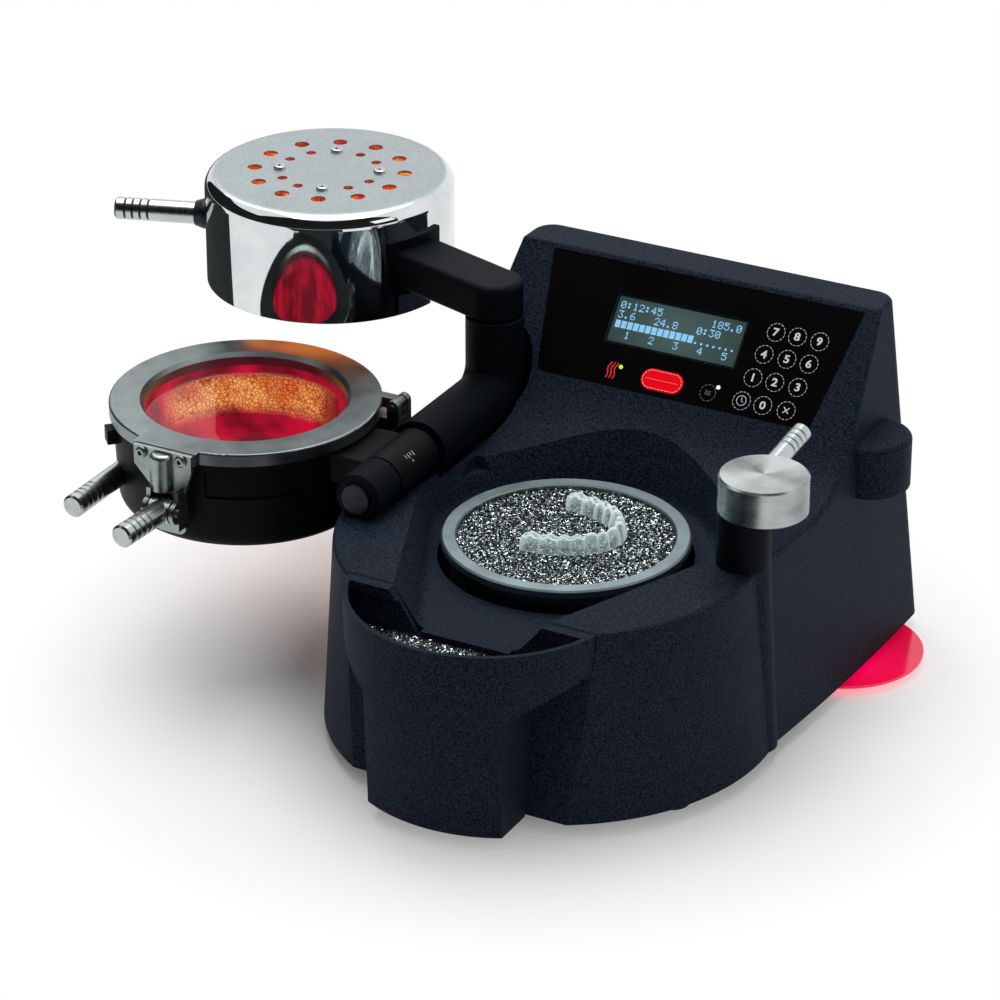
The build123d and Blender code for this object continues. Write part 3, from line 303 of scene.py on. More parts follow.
def turned_steel(name, point, direction, tone, roughness, groove_below=None, spread=0.1, painted_fan_strength=0.0, turn=0.0):
    """Steel turned about a line.  Its sides below the radius groove_below are painted dark as shade.

    Spread is how much darker the dark end is, for the marks and the painted fans.  The painted fan
    strength sets the painted reflection, light and dark fans about the axis; turn is where they begin.
    """
    finish = Finish(name)
    from_axis = finish.place - tuple(point)
    way = Vector(direction).normalized()
    first = way.orthogonal().normalized()
    second = way.cross(first)
    along, x, y = [finish.reach(from_axis, line) for line in (way, first, second)]
    radius = (x * x + y * y).root()
    marks = finish.cloud(TOOL_MARK, 2.0, 0.6, at=finish.joined(radius, along, 0.0))
    hand = finish.cloud(HAND_MARK)
    angle = finish.node("Math", {"operation": "ARCTAN2"}, {0: y, 1: x})
    # Painted reflection: light and dark fans round the axis, brighter and darker by angle.
    painted_fan = (angle * 2 + turn).waves() * 0.5 + (angle * 3 - turn).waves() * 0.3
    level = marks.between(0.3, 0.7) * 0.35 + hand.between(0.3, 0.7) * 0.35 + 0.3 + painted_fan * painted_fan_strength
    shade = [channel * (1 - spread * 4) for channel in paint(*tone)[:3]]
    colour = finish.tint((*shade, 1.0), tone, level.between(0, 1))
    rough = marks.between(0.3, 0.7) * 0.08 + hand.between(0.3, 0.75) * 0.06 + roughness
    if groove_below is not None:
        lean = finish.reach(finish.facing, way)
        # Painted shade: below the groove radius the sides darken, as the shade in the grooves.
        stain_and_shade = radius.between(groove_below - 0.4 * MM, groove_below - 0.1 * MM, 1.0, 0.0)
        stain_and_shade = stain_and_shade * (1 - (lean * lean).over(0.4))
        colour = finish.tint(colour, (26, 24, 24), stain_and_shade * 0.9)
        rough = rough + stain_and_shade * 0.25
    return finish.coated(
        base_color=colour,
        metallic=1.0,
        roughness=rough,
        normal=finish.relief(marks, 0.012 * MM, 0.6),
    )


# %% Steel parts of the chamber, the ring and the lock
PALE_STEEL = (196, 204, 204)
DARK_STEEL = (138, 147, 148)
NICKEL = (148, 165, 168)
UPRIGHT = (0, 0, 1)
# After the tone: roughness, groove radius, spread, painted fan strength and turn.
for name, part, point, tone, *looks in (
    ("ring_steel", "clamp_ring", chamber_axis, DARK_STEEL, 0.26, None, 0.15, 0.5, 2.6),
    ("cup_nickel", "model_cup", cup_axis, NICKEL, 0.36, None, 0.12, 0.2, 0.0),
    ("disc_steel", "lock_knob", middle("lock_knob"), PALE_STEEL, 0.2, None, 0.19, 0.7, 0.6),
):
    dress(turned_steel(name, point, UPRIGHT, tone, *looks), part)

# %% [markdown]
# ## The grips
# Four steel grips let the user touch the hot machine.  All have turned grooves near the end,
# where the fingers hold, and the grooves get a painted shade.  The same steel serves, turned about
# the line of each grip, with the painted groove shade switched on below its outer radius.

# %% Grips
GRIP_RADIUS = 6.25 * MM
LOCK_GRIP_RADIUS = 5.4 * MM
GROOVE_DEPTH = 0.15 * MM
HEATER_GRIP_TURN = math.radians(199)
heater_grip_way = (math.cos(HEATER_GRIP_TURN), math.sin(HEATER_GRIP_TURN), 0)
latch_line = middle("latch_lever")
latch_line.x -= 1 * MM
latch_line.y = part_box("latch_lever")[0].y + 20 * MM
lock_line = cup_axis + Vector((101 * MM, 16 * MM, 0))
lock_line.z = 152.2 * MM
for grip, on_line, way, radius in (
    ("heater_grip", middle("heater_grip"), heater_grip_way, GRIP_RADIUS),
    ("chamber_grip", middle("chamber_grip"), (0, -1, 0), GRIP_RADIUS),
    ("latch_lever", latch_line, (-0.06, -1, 0), GRIP_RADIUS),
    ("lock_grip", lock_line, (0.03, 1, 0.14), LOCK_GRIP_RADIUS),
):
    groove = radius - GROOVE_DEPTH
    dress(turned_steel(grip + "_steel", on_line, way, PALE_STEEL, 0.18, groove, painted_fan_strength=0.15), grip)

# %% [markdown]
# ## Bent and cast metal
# Brackets, screws and pins get a plainer metal: two clouds of different size stand for the
# handling marks, and the finer one also moves the surface a little, as tumbling does.


# %% Plain metals
def plain_metal(name, tone, roughness, stain_and_shade):
    """Metal with handling marks, from the stain colour to the tone."""
    finish = Finish(name)
    smear = finish.cloud(7 * MM, 4.0, 0.65)
    pits = finish.cloud(0.9 * MM)
    return finish.coated(
        base_color=finish.tint(stain_and_shade, tone, smear.between(0.2, 0.7)),
        metallic=1.0,
        roughness=smear.between(0.3, 0.7) * 0.1 + pits * 0.05 + roughness,
        normal=finish.relief(pits, 0.012 * MM, 0.4),
    )


METALS = (
    ("bracket_steel", (168, 178, 176), 0.28, (126, 136, 136), "latch_bracket ring_hinge latch_screws"),
    ("chrome", (214, 216, 218), 0.06, (180, 183, 186), "dome_screws swivel_pin"),
    ("zinc", (150, 152, 150), 0.34, (104, 106, 106), "case_screws power_supply"),
    ("burnished_steel", (58, 60, 66), 0.36, (30, 31, 35), "hinge_shaft heater_grip_root"),
    ("nickel_brass", (196, 186, 158), 0.2, (150, 138, 108), "air_inlet"),
)
for *looks, parts in METALS:
    dress(plain_metal(*looks), *parts.split())

# %% [markdown]
# ## The heater dome
# The dome is one pressed sheet of stainless steel.  Its sides are polished to a mirror; its top
# is only ground, so it stays an even light grey.  One material does both: the height of the
# point decides how rough and how bright it is, with the change kept inside the rounded edge.

# %% Polished sides and a ground top
finish = Finish("dome_steel")
edge = height_of("heater_dome")
ground = finish.sides(finish.place)[2].between(edge - 1.1 * MM, edge - 0.15 * MM)
mottle = finish.cloud(1.3 * MM, 3.0, 0.6)
smear = finish.cloud(24 * MM, 3.0, 0.6)
mirror_tone = finish.tint((206, 212, 213), (222, 227, 228), smear.between(0.35, 0.65))
ground_share = mottle.between(0.3, 0.7) * 0.6 + smear * 0.4
ground_tone = finish.tint((140, 148, 150), (174, 183, 185), ground_share)
finish.coated(
    base_color=finish.tint(mirror_tone, ground_tone, ground),
    metallic=1.0 - ground * 0.35,
    roughness=smear.between(0.35, 0.7) * 0.02 + 0.03 + ground * 0.4,
    normal=finish.relief(mottle, 0.012 * MM, 0.2),
)
dress(finish, "heater_dome")

# %% [markdown]
# ## Fire under the dome
# Two ring tubes glow under the dome, brighter and darker along their length, because the coil
# inside is wound in turns.  Through the holes in the dome one looks down on the reflector's back,
# which gets a painted glow in patches from dark red to yellow in place of the tubes' light, while
# its underside stays a mirror: the direction of the face decides.

# %% Glowing tubes
finish = Finish("glowing_tube")
coil = finish.cloud(3.2 * MM, 1.0)
heat = finish.cloud(30 * MM, 1.0)
level = coil.between(0.35, 0.62) * 0.7 + heat.between(0.3, 0.7) * 0.3
finish.coated(
    base_color=(70, 20, 12),
    roughness=0.3,
    emission_color=finish.tint((214, 24, 10), (255, 150, 48), level),
    emission_strength=4.0,
)
dress(finish, "heating_elements")

# %% Reflector with a painted glow
finish = Finish("reflector_painted_glow")
smear = finish.cloud(12 * MM, 3.0)
patches = finish.cloud(9 * MM)
# Painted light: the upward faces glow in patches, standing in for the tubes' light seen through the holes.
looks_up = finish.sides(finish.facing)[2].over(0.3)
stages = [(0.36, (96, 6, 26)), (0.5, (222, 34, 34)), (0.6, (250, 92, 30)), (0.68, (255, 196, 72))]
painted_glow = finish.node("ValToRGB", inputs={0: patches})
ramp = painted_glow.socket.node.color_ramp.elements
while len(ramp) < len(stages):
    ramp.new(0.5)
for stop, (level, colour) in zip(ramp, stages):
    stop.position = level
    stop.color = paint(*colour)
finish.coated(
    base_color=finish.tint((120, 118, 118), (176, 174, 170), smear),
    metallic=1.0,
    roughness=smear * 0.12 + 0.1,
    emission_color=finish.tint(BLACK, painted_glow, looks_up),
    emission_strength=1.0,
)
dress(finish, "heater_reflector")

# %% [markdown]
# ## The chamber
# Outside, the chamber is painted like the casing.  Inside it is bare metal, tinted red as painted
# light, and a painted glow stands in for the heater's light: deep magenta in front to a crackle
# of orange at the back, where the hot tubes are nearest.  A mirror image of the tubes would need
# a very long render to come out clean, so the glow is painted into the metal: a faint light of its
# own, wherever a point lies inside the bore and above the sole, which stays dark when the chamber is
# flipped.

# %% Painted outside, painted glow inside
BORE_EDGE = 60 * MM
IN_THE_SOLE = 4 * MM
CRACKLE = 2.2 * MM
GLOW_BEHIND = (34 * MM, 48 * MM)
GLOW_FOOT = (-26 * MM, -18 * MM)
GLOW_TOP = (-5 * MM, -1 * MM)
WANDER = 8 * MM
finish = Finish("chamber_metal")
x, y, z = finish.sides(finish.place - tuple(chamber_axis))
radius = (x * x + y * y).root()
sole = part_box("chamber_body")[0].z - chamber_axis.z
inside = radius.between(BORE_EDGE, BORE_EDGE + 1 * MM, 1.0, 0.0) * z.over(sole + IN_THE_SOLE)
grain = finish.cloud(0.35 * MM)
coat = finish.tint((2, 3, 5), (15, 18, 23), grain.between(0.3, 0.7))
# Painted light: the bare inside is tinted red, as if lit by the heater.
bare_painted_red = finish.tint((70, 40, 44), (120, 84, 84), grain)
crackle = {"Vector": finish.place, "Scale": 1 / CRACKLE}
cells = finish.node("TexVoronoi", {"feature": "DISTANCE_TO_EDGE"}, crackle)
streak = finish.cloud(22 * MM)
far = (y * 0.88 - x * 0.47 + streak * WANDER).between(*GLOW_BEHIND)
level = z + streak * WANDER
back = far * level.between(*GLOW_FOOT) * level.between(*GLOW_TOP, 1.0, 0.0)
cracks = cells.between(0.0, 0.16, 0.25, 1.0)
# Painted glow: magenta in front and an orange crackle at the back, in place of the heater's light.
deep = finish.tint((112, 4, 34), (214, 16, 62), streak.between(0.4, 0.62))
bright_glow = finish.tint((236, 84, 22), (255, 214, 110), cracks * streak.between(0.3, 0.55))
painted_glow = finish.tint(deep, bright_glow, back * cracks)
finish.coated(
    base_color=finish.tint(coat, bare_painted_red, inside),
    roughness=grain * 0.1 + 0.42,
    specular_ior_level=0.08,
    emission_color=finish.tint(BLACK, painted_glow, inside),
    emission_strength=0.85,
    normal=finish.relief(grain, 0.08 * MM, 0.7),
)
dress(finish, "chamber_body")

# %% [markdown]
# ## Clear foil, clear window
# A clear sheet shows two things at once: what lies behind it, and the room mirrored in its
# face.  Fresnel says how much of each an eye gets at that angle, so it drives a mix between a
# see-through shader and a glossy one.  Seen from inside the sheet, Fresnel would close the way
# out at a slant, so the back of each face only lets light through.  A refracting glass would be
# truer, but it shuts out the lamps in a short render and leaves the inside black.


# %% Clear sheets
def clear_sheet(name, tint, roughness, ior):
    """A thin clear plastic sheet."""
    finish = Finish(name)
    ripple = finish.cloud(26 * MM, 1.0)
    normal = finish.relief(ripple, 0.25 * MM, 0.3)
    angle = finish.node("Fresnel", inputs={"IOR": ior, "Normal": normal})
    clear = finish.node("BsdfTransparent", inputs={"Color": tint})
    looks = {"Color": WHITE, "Roughness": roughness, "Normal": normal}
    mirror = finish.node("BsdfGlossy", inputs=looks)
    backs = finish.node("NewGeometry", output=6)
    return finish.mixed(angle * (1 - backs), clear, mirror)


dress(clear_sheet("clear_foil", (250, 240, 240), 0.02, 1.25), "clamped_foil")
dress(clear_sheet("display_glass", (236, 240, 238), 0.06, 1.3), "display_window")

# %% [markdown]
# ## Small plastics and rubber
# Feet, seal, inlet, rocker, base, valve and board share one recipe: a base colour with a faint
# cloud in it, and a grain whose depth tells soft rubber from hard plastic.  Grain and depth are
# in millimetres in the table.


# %% Moulded plastics
def moulded(name, dark, light, roughness, grain, depth):
    finish = Finish(name)
    fine = finish.cloud(grain)
    wide = finish.cloud(22 * MM, 1.0)
    return finish.coated(
        base_color=finish.tint(dark, light, fine * 0.4 + wide * 0.6),
        roughness=fine * 0.1 + roughness,
        normal=finish.relief(fine, depth, 0.7),
    )


PLASTICS = (
    ("foot_rubber", "rubber_feet", (18, 18, 19), (36, 36, 38), 0.75, 0.5, 0.1),
    ("seal_rubber", "chamber_seal", (120, 34, 30), (150, 48, 42), 0.6, 0.8, 0.05),
    ("inlet_plastic", "power_inlet", (14, 14, 15), (28, 28, 30), 0.34, 0.6, 0.03),
    ("rocker_plastic", "power_switch", (10, 10, 11), (22, 22, 24), 0.22, 0.6, 0.02),
    ("base_sheet", "base_plate", (30, 31, 34), (46, 47, 51), 0.5, 0.7, 0.06),
    ("valve_plastic", "air_valve", (34, 60, 110), (46, 78, 136), 0.4, 0.8, 0.04),
    ("board_green", "circuit_board", (14, 66, 40), (24, 92, 58), 0.34, 2.4, 0.05),
)
for name, part, dark, light, roughness, grain, depth in PLASTICS:
    dress(moulded(name, dark, light, roughness, grain * MM, depth * MM), part)

# %% [markdown]
# ## The panel
# A black printed film covers the slope, and the key caps show through it in the same film.
# It is smoother than the casing, so it darkens the slope and mirrors the lamps softly.


# %% Film, key caps and lamps
def printed_film(name, dark, light, roughness, glow=0.0):
    finish = Finish(name)
    fine = finish.cloud(0.3 * MM, 1.0)
    wipe = finish.cloud(35 * MM)
    return finish.lit(
        finish.tint(dark, light, fine * 0.5 + wipe * 0.5),
        glow,
        roughness=wipe.between(0.3, 0.7) * 0.1 + fine * 0.06 + roughness,
        specular_ior_level=0.04,
        normal=finish.relief(fine, 0.02 * MM, 0.4),
    )


film = printed_film("black_film", (1, 1, 2), (5, 5, 8), 0.36)
dress(film, "panel_membrane", "round_key", "key_clock", "key_clear")
dress(film, *["key_" + str(number) for number in range(10)])
# Painted light: a faint glow of its own brightens the red key.
dress(printed_film("red_film", (232, 2, 16), (250, 12, 30), 0.32, glow=0.3), "red_button")

# Two little lamps: the left one is lit green, the right one white.
finish = Finish("lamp_caps")
right = finish.sides(finish.place)[0].over(middle("signal_lamps").x)
grain = finish.cloud(0.6 * MM, 1.0)
finish.lit(finish.tint((178, 255, 20), (228, 238, 240), right), 0.85, roughness=grain * 0.1 + 0.2)
dress(finish, "signal_lamps")

# The grey-green field behind the characters, brightest in its middle.
finish = Finish("display_glow")
distance = finish.length(finish.place - tuple(middle("display_window")))
fade = distance.between(4 * MM, 44 * MM, 1.0, 0.0)
grain = finish.cloud(0.7 * MM, 1.0)
finish.lit(finish.tint((48, 66, 68), (88, 108, 108), fade * 0.75 + grain * 0.25), 0.45, roughness=0.5)
dress(finish, "display_module")

# %% [markdown]
# ## The lit foil under the casing
# A spare foil lies on rails under the machine, and a red lamp above it lights it up.  That
# light is painted into the sheet: the whole disc glows of its own, most in its middle.

# %% Disc with a painted glow, and its lamp
finish = Finish("foil_painted_glow")
# Painted light: the disc's glow and its bright spot stand in for the red lamp's light.
painted_bright_spot = middle("foil_disc") + Vector((16 * MM, -14 * MM, 0))
distance = finish.length(finish.place - tuple(painted_bright_spot))
fade = distance.between(6 * MM, 34 * MM, 1.0, 0.0)
drift = finish.cloud(18 * MM)
colour = finish.tint((196, 2, 52), (254, 4, 84), fade * 0.8 + drift * 0.2)
finish.lit(colour, 0.75, roughness=drift * 0.08 + 0.1, coat_weight=0.15)
dress(finish, "foil_disc")

finish = Finish("scan_light")
ribs = finish.cloud(2.5 * MM, 1.0)
red = finish.tint((214, 10, 34), (255, 40, 70), ribs)
finish.coated(base_color=(120, 8, 20), roughness=0.25, emission_color=red, emission_strength=3.0)
dress(finish, "scan_lamp")

# %% [markdown]
# ## Printing on the panel
# Ink has almost no thickness, so each print is a flat shape drawn in the plane of the slope,
# laid a hair above the cap that carries it and given a little body.  A number rides on its own
# key, so it goes down with the key.  The slope has its own two directions: across it, and up it.

# %% The slope and what lies on it
SLOPE = math.radians(49.7)
ACROSS = Vector((1, 0, 0))
UP_SLOPE = Vector((0, math.cos(SLOPE), math.sin(SLOPE)))
OUT = Vector((0, -math.sin(SLOPE), math.cos(SLOPE)))
SQUARE = ((-1, -1), (1, -1), (1, 1), (-1, 1))
INK_LIFT = 0.02 * MM
INK_THICK = 0.05 * MM


def top_face(node):
    """Middle of the outer face of a part on the slope."""
    centre = middle(node)
    level = max(corner.co.dot(OUT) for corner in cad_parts[node].data.vertices)
    return centre + OUT * (level - centre.dot(OUT))


print("key 5 lies at", [round(c * 1000, 1) for c in top_face("key_5")])


# %% New pieces
def put(name, data):
    """An object that puts a mesh, a text, a lamp or a camera into the scene."""
    made = bpy.data.objects.new(name, data)
    bpy.context.scene.collection.objects.link(made)
    return made


def mesh_object(name, points, faces, finish):
    """An object with a mesh and a finish."""
    mesh = bpy.data.meshes.new(name)
    mesh.from_pydata([tuple(point) for point in points], [], [tuple(face) for face in faces])
    mesh.update()
    mesh.materials.append(finish.material)
    return put(name, mesh)


def new_piece(name, points, faces, finish, body):
    """A mesh in the frame of the machine that rides on a body."""
    piece = mesh_object(name, points, faces, finish)
    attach(piece, body)
    return piece


def add_body(piece, thickness, offset=1.0):
    """Gives a sheet some thickness, outwards for a positive offset."""
    solid = piece.modifiers.new("thickness", "SOLIDIFY")
    solid.thickness = thickness
    solid.offset = offset


# %% Drawing with a flat pen
BOLD = 0.025
STRETCH = 1.15


class Ink:
    """A drawing in metres, gathered stroke by stroke.  Other shapes are gathered the same way."""

    def __init__(self):
        self.points = []
        self.faces = []

    def add(self, points, faces):
        first = len(self.points)
        self.points += [tuple(point) for point in points]
        self.faces += [tuple(first + corner for corner in face) for face in faces]

    def stroke(self, path, width):
        """A line of even width along a path of points."""
        path = np.array(path, float)
        ahead = np.gradient(path, axis=0)
        ahead /= np.linalg.norm(ahead, axis=1)[:, None]
        side = np.stack([-ahead[:, 1], ahead[:, 0]], axis=1) * width / 2
        count = len(path)
        faces = [(i, i + 1, count + i + 1, count + i) for i in range(count - 1)]
        self.add(np.vstack([path + side, path - side]), [face[::-1] for face in faces])

    def dashes(self, point_at, length, dash, gap, width):
        """A dashed line along a curve that is given by its distance along it."""
        count = max(1, round(length / (dash + gap)))
        step = length / count
        for number in range(count):
            start = number * step
            self.stroke([point_at(start + dash * part / 4) for part in range(5)], width)

    def number(self, digit, height):
        """A digit in a plain face, centred.  A nine is a six that stands on its head."""
        letters = bpy.data.curves.new("letters", "FONT")
        letters.body = "6" if digit == "9" else digit
        letters.offset = BOLD
        carrier = put("letters", letters)
        bpy.context.view_layer.update()
        mesh = bpy.data.meshes.new_from_object(carrier)
        points = np.array([corner.co[:2] for corner in mesh.vertices])
        low = points.min(axis=0)
        high = points.max(axis=0)
        points = (points - (low + high) / 2) * height / (high[1] - low[1])
        points = points * np.array((STRETCH, 1)) * (-1 if digit == "9" else 1)
        self.add(points, [tuple(face.vertices) for face in mesh.polygons])
        bpy.data.objects.remove(carrier)
        bpy.data.meshes.remove(mesh)

    def lay(self, name, origin, finish, body):
        """Lays the drawing on the slope, with its middle at origin."""
        lift = OUT * INK_LIFT
        points = [origin + lift + ACROSS * x + UP_SLOPE * y for x, y in self.points]
        piece = new_piece(name, points, self.faces, finish, body)
        add_body(piece, INK_THICK)


def ring_line(radius):
    """A circle by the distance along it, with its length."""
    return (lambda s: (radius * math.cos(s / radius), radius * math.sin(s / radius))), math.tau * radius


def slot_line(length, height):
    """A slot with round ends by the distance along it, with its length."""
    radius = height / 2
    straight = length - height
    bend = math.pi * radius

    def point_at(s):
        s %= 2 * (straight + bend)
        if s < straight:
            return straight / 2 - s, radius
        s -= straight
        if s < bend:
            return -straight / 2 - radius * math.sin(s / radius), radius * math.cos(s / radius)
        s -= bend
        if s < straight:
            return s - straight / 2, -radius
        s -= straight
        return straight / 2 + radius * math.sin(s / radius), -radius * math.cos(s / radius)

    return point_at, 2 * (straight + bend)


# %% Inks
def ink(name, dark, light, glow=0.0):
    """Printing ink, a little uneven, with a glow: a lit character's light, and painted light on print."""
    finish = Finish(name)
    blot = finish.cloud(0.5 * MM, 1.0)
    return finish.lit(finish.tint(dark, light, blot.between(0.3, 0.6)), glow, roughness=blot * 0.1 + 0.4)


# Painted light: the white and red inks glow faintly, though print gives off no light.
white_ink = ink("white_ink", (196, 199, 200), (232, 234, 235), 0.12)
grey_ink = ink("grey_ink", (112, 114, 118), (140, 142, 146))
red_ink = ink("red_ink", (206, 16, 26), (236, 32, 42), 0.2)
blue_light = ink("blue_light", (128, 190, 250), (168, 216, 255), 0.95)
print("materials so far:", len(bpy.data.materials))

# %% [markdown]
# Every key stands in a thin dashed ring that is printed on the film round it.  Ten keys have a
# plain number, one has a little clock and one a cross.  The red key has a dashed outline and a
# dashed line across its middle, and the round key a small sign for moving air.

# %% Rings and numbers on the keys
KEY_RING = 4.98 * MM
RING_WIDTH = 0.26 * MM
DIGIT_HEIGHT = 4.5 * MM
film_level = top_face("panel_membrane").dot(OUT)


def ring_of_dashes(drawing, radius):
    point_at, length = ring_line(radius)
    drawing.dashes(point_at, length, 1.55 * MM, 0.62 * MM, RING_WIDTH)


def clock_sign(drawing):
    """A clock face with two hands."""
    point_at, length = ring_line(2.7 * MM)
    drawing.stroke([point_at(length * step / 32) for step in range(33)], 0.34 * MM)
    drawing.stroke([(0, 1.7 * MM), (0, 0)], 0.36 * MM)
    drawing.stroke([(0, 0), (1.2 * MM, -0.8 * MM)], 0.36 * MM)


def cross_sign(drawing):
    """A cross, for taking a number back."""
    for lean in (-1, 1):
        drawing.stroke([(-1.6 * MM, -1.6 * lean * MM), (1.6 * MM, 1.6 * lean * MM)], 0.55 * MM)


keys = [str(number) for number in range(10)] + ["clock", "clear"]
for key in keys:
    node = "key_" + key
    cap = top_face(node)
    drawing = Ink()
    ring_of_dashes(drawing, KEY_RING)
    drawing.lay("ring_" + key, cap + OUT * (film_level - cap.dot(OUT)), white_ink, "machine")
    drawing = Ink()
    if key == "clock":
        clock_sign(drawing)
    elif key == "clear":
        cross_sign(drawing)
    else:
        drawing.number(key, DIGIT_HEIGHT)
    drawing.lay("print_" + key, cap, white_ink, "button_" + key)
print("printed keys:", len(keys))


# %% Signs on the red key, the round key and the film
def wave(place, height, swing, lean=0.0):
    """A line that climbs and swings from side to side."""
    path = []
    for step in range(25):
        share = step / 24
        x = place[0] + swing * math.sin(share * math.tau * 1.25) + lean * share
        path.append((x, place[1] + (share - 0.5) * height))
    return path


red_low, red_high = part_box("red_button")
red_length = red_high.x - red_low.x
drawing = Ink()
point_at, length = slot_line(red_length - 1.7 * MM, 9.9 * MM)
drawing.dashes(point_at, length, 1.5 * MM, 0.6 * MM, 0.22 * MM)
middle_line = red_length - 5 * MM
drawing.dashes(lambda s: (s - middle_line / 2, 0), middle_line, 0.7 * MM, 0.6 * MM, 0.16 * MM)
drawing.lay("print_red_key", top_face("red_button"), white_ink, "start_button")

drawing = Ink()
ring_of_dashes(drawing, 4.55 * MM)
for row in (-1, 0, 1):
    path = [(y, x + row * 0.95 * MM) for x, y in wave((0, 0), 3.2 * MM, 0.22 * MM)]
    drawing.stroke(path, 0.26 * MM)
drawing.lay("print_round_key", top_face("round_key"), grey_ink, "air_button")

heat_sign = top_face("signal_lamps") + ACROSS * (-34.0 * MM)
heat_sign += OUT * (film_level - heat_sign.dot(OUT)) - UP_SLOPE * 3.0 * MM
drawing = Ink()
for column in (-1, 0, 1):
    drawing.stroke(wave((column * 2.0 * MM, 0), 9.2 * MM, 0.55 * MM, 0.7 * MM), 0.75 * MM)
drawing.lay("print_heat_sign", heat_sign, red_ink, "machine")
print("signs printed")

# %% [markdown]
# ## The display
# The display is a dot matrix with four lines of twenty characters.  Each character is a grid of
# five by seven dots, small lit squares with a gap between them.  It shows plain numbers and a bar.

# %% Characters made of dots
DOT = 0.54 * MM
DOT_STEP = 0.60 * MM
CHARACTER_STEP = 3.62 * MM
LINE_STEP = 5.45 * MM
DOTS = {
    "0": ".###. #...# #..## #.#.# ##..# #...# .###.",
    "1": "..#.. .##.. ..#.. ..#.. ..#.. ..#.. .###.",
    "2": ".###. #...# ....# ...#. ..#.. .#... #####",
    "3": "##### ...#. ..#.. ...#. ....# #...# .###.",
    "4": "...#. ..##. .#.#. #..#. ##### ...#. ...#.",
    "5": "##### #.... ####. ....# ....# #...# .###.",
    "6": "..##. .#... #.... ####. #...# #...# .###.",
    "8": ".###. #...# #...# .###. #...# #...# .###.",
    ".": "..... ..... ..... ..... ..... .##.. .##..",
    ":": "..... .##.. .##.. ..... .##.. .##.. .....",
    "=": "##### ##### ##### ##### ##### ##### #####",
    " ": "..... ..... ..... ..... ..... ..... .....",
}
LINES = ("0:12:45        185.0", "3.6   24.8   0:30   ", "=============.......", "  1   2   3   4   5 ")
MIDDLE_CHARACTER = 9.5
MIDDLE_LINE = 1.5


def dot_square(column, row, character, line):
    """Corners of one lit dot, from the middle of the display."""
    x = (character - MIDDLE_CHARACTER) * CHARACTER_STEP + (column - 2) * DOT_STEP
    y = (MIDDLE_LINE - line) * LINE_STEP + (3 - row) * DOT_STEP
    half = DOT / 2
    return [(x + half * right, y + half * up) for right, up in SQUARE]


drawing = Ink()
for line, text in enumerate(LINES):
    for character, sign in enumerate(text):
        for row, dots in enumerate(DOTS[sign].split()):
            for column, dot in enumerate(dots):
                if dot == "#":
                    drawing.add(dot_square(column, row, character, line), [(0, 1, 2, 3)])
drawing.lay("display_characters", top_face("display_module"), blue_light, "machine")
print("lit dots:", len(drawing.faces))

# %% [markdown]
# ## Metal grains
# The cup and the tray are filled with pellets cut from wire, about a millimetre long.  A texture
# of them wouldn't glint, so the top layer is real: thousands of little five-sided rods, turned
# every way, laid on a loose grid so that none is missing and no row shows.  Each filling is one
# mesh, which keeps the scene light, and the bed under it is painted near black as shade in the gaps.

# %% Pellets on a bed
GRAIN_LONG = 1.15 * MM
GRAIN_THICK = 0.58 * MM
GRAIN_SIDES = 5
ROW_STEP = 0.87
SCATTER = 0.28
TIP = 0.45
grain_corners = []
for end in (-0.5, 0.5):
    for side in range(GRAIN_SIDES):
        turn = math.tau * side / GRAIN_SIDES
        across = (math.cos(turn) * GRAIN_THICK / 2, math.sin(turn) * GRAIN_THICK / 2)
        grain_corners.append((end * GRAIN_LONG, *across))
grain_corners = np.array(grain_corners)
grain_faces = []
for side in range(GRAIN_SIDES):
    after = (side + 1) % GRAIN_SIDES
    grain_faces.append((side, after, GRAIN_SIDES + after, GRAIN_SIDES + side))
grain_faces.append(tuple(reversed(range(GRAIN_SIDES))))
grain_faces.append(tuple(range(GRAIN_SIDES, 2 * GRAIN_SIDES)))


def pour(name, inside, bed, step, body, seed):
    """Lays pellets on a bed, wherever inside(x, y) is true."""
    low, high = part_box(bed)
    chance = random.Random(seed)
    grains = Ink()
    rows = int((high[1] - low[1]) / (step * ROW_STEP)) + 1
    for row in range(rows):
        for column in range(int((high[0] - low[0]) / step) + 1):
            x = low[0] + (column + 0.5 * (row % 2)) * step + chance.uniform(-SCATTER, SCATTER) * step
            y = low[1] + row * step * ROW_STEP + chance.uniform(-SCATTER, SCATTER) * step
            if not inside(x, y):
                continue
            turn = Matrix.Rotation(chance.uniform(0, math.tau), 3, "Z")
            tip = Matrix.Rotation(chance.gauss(0, TIP), 3, "Y")
            roll = Matrix.Rotation(chance.uniform(0, math.tau), 3, "X")
            place = np.array((x, y, high.z + chance.uniform(-0.12, 0.3) * MM))
            grains.add(grain_corners @ np.array(turn @ tip @ roll).T + place, grain_faces)
    print(name, "has", len(grains.points) // len(grain_corners), "pellets")
    new_piece(name, grains.points, grains.faces, bright_pellets, body)


bright_pellets = Finish("bright_pellets")
luck = bright_pellets.cloud(1.6 * MM, 1.0)
colour = bright_pellets.tint((20, 24, 27), (218, 234, 238), luck.between(0.46, 0.56))
bright_pellets.coated(base_color=colour, metallic=1.0, roughness=luck * 0.2 + 0.16)
# Painted shade: the beds under the pellets are near black, as the shade in the gaps.
painted_shade_bed = moulded("painted_shade_bed", (8, 9, 10), (24, 25, 27), 0.7, 0.9 * MM, 0.3 * MM)
dress(painted_shade_bed, "cup_granulate", "tray_granulate")
low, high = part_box("cup_granulate")
cup_radius = (high.x - low.x) / 2 - 0.5 * MM


def in_cup(x, y):
    """True inside the bore of the cup."""
    return math.hypot(x - cup_axis.x, y - cup_axis.y) < cup_radius


pour("cup_pellets", in_cup, "cup_granulate", 1.16 * MM, "cup", 3)

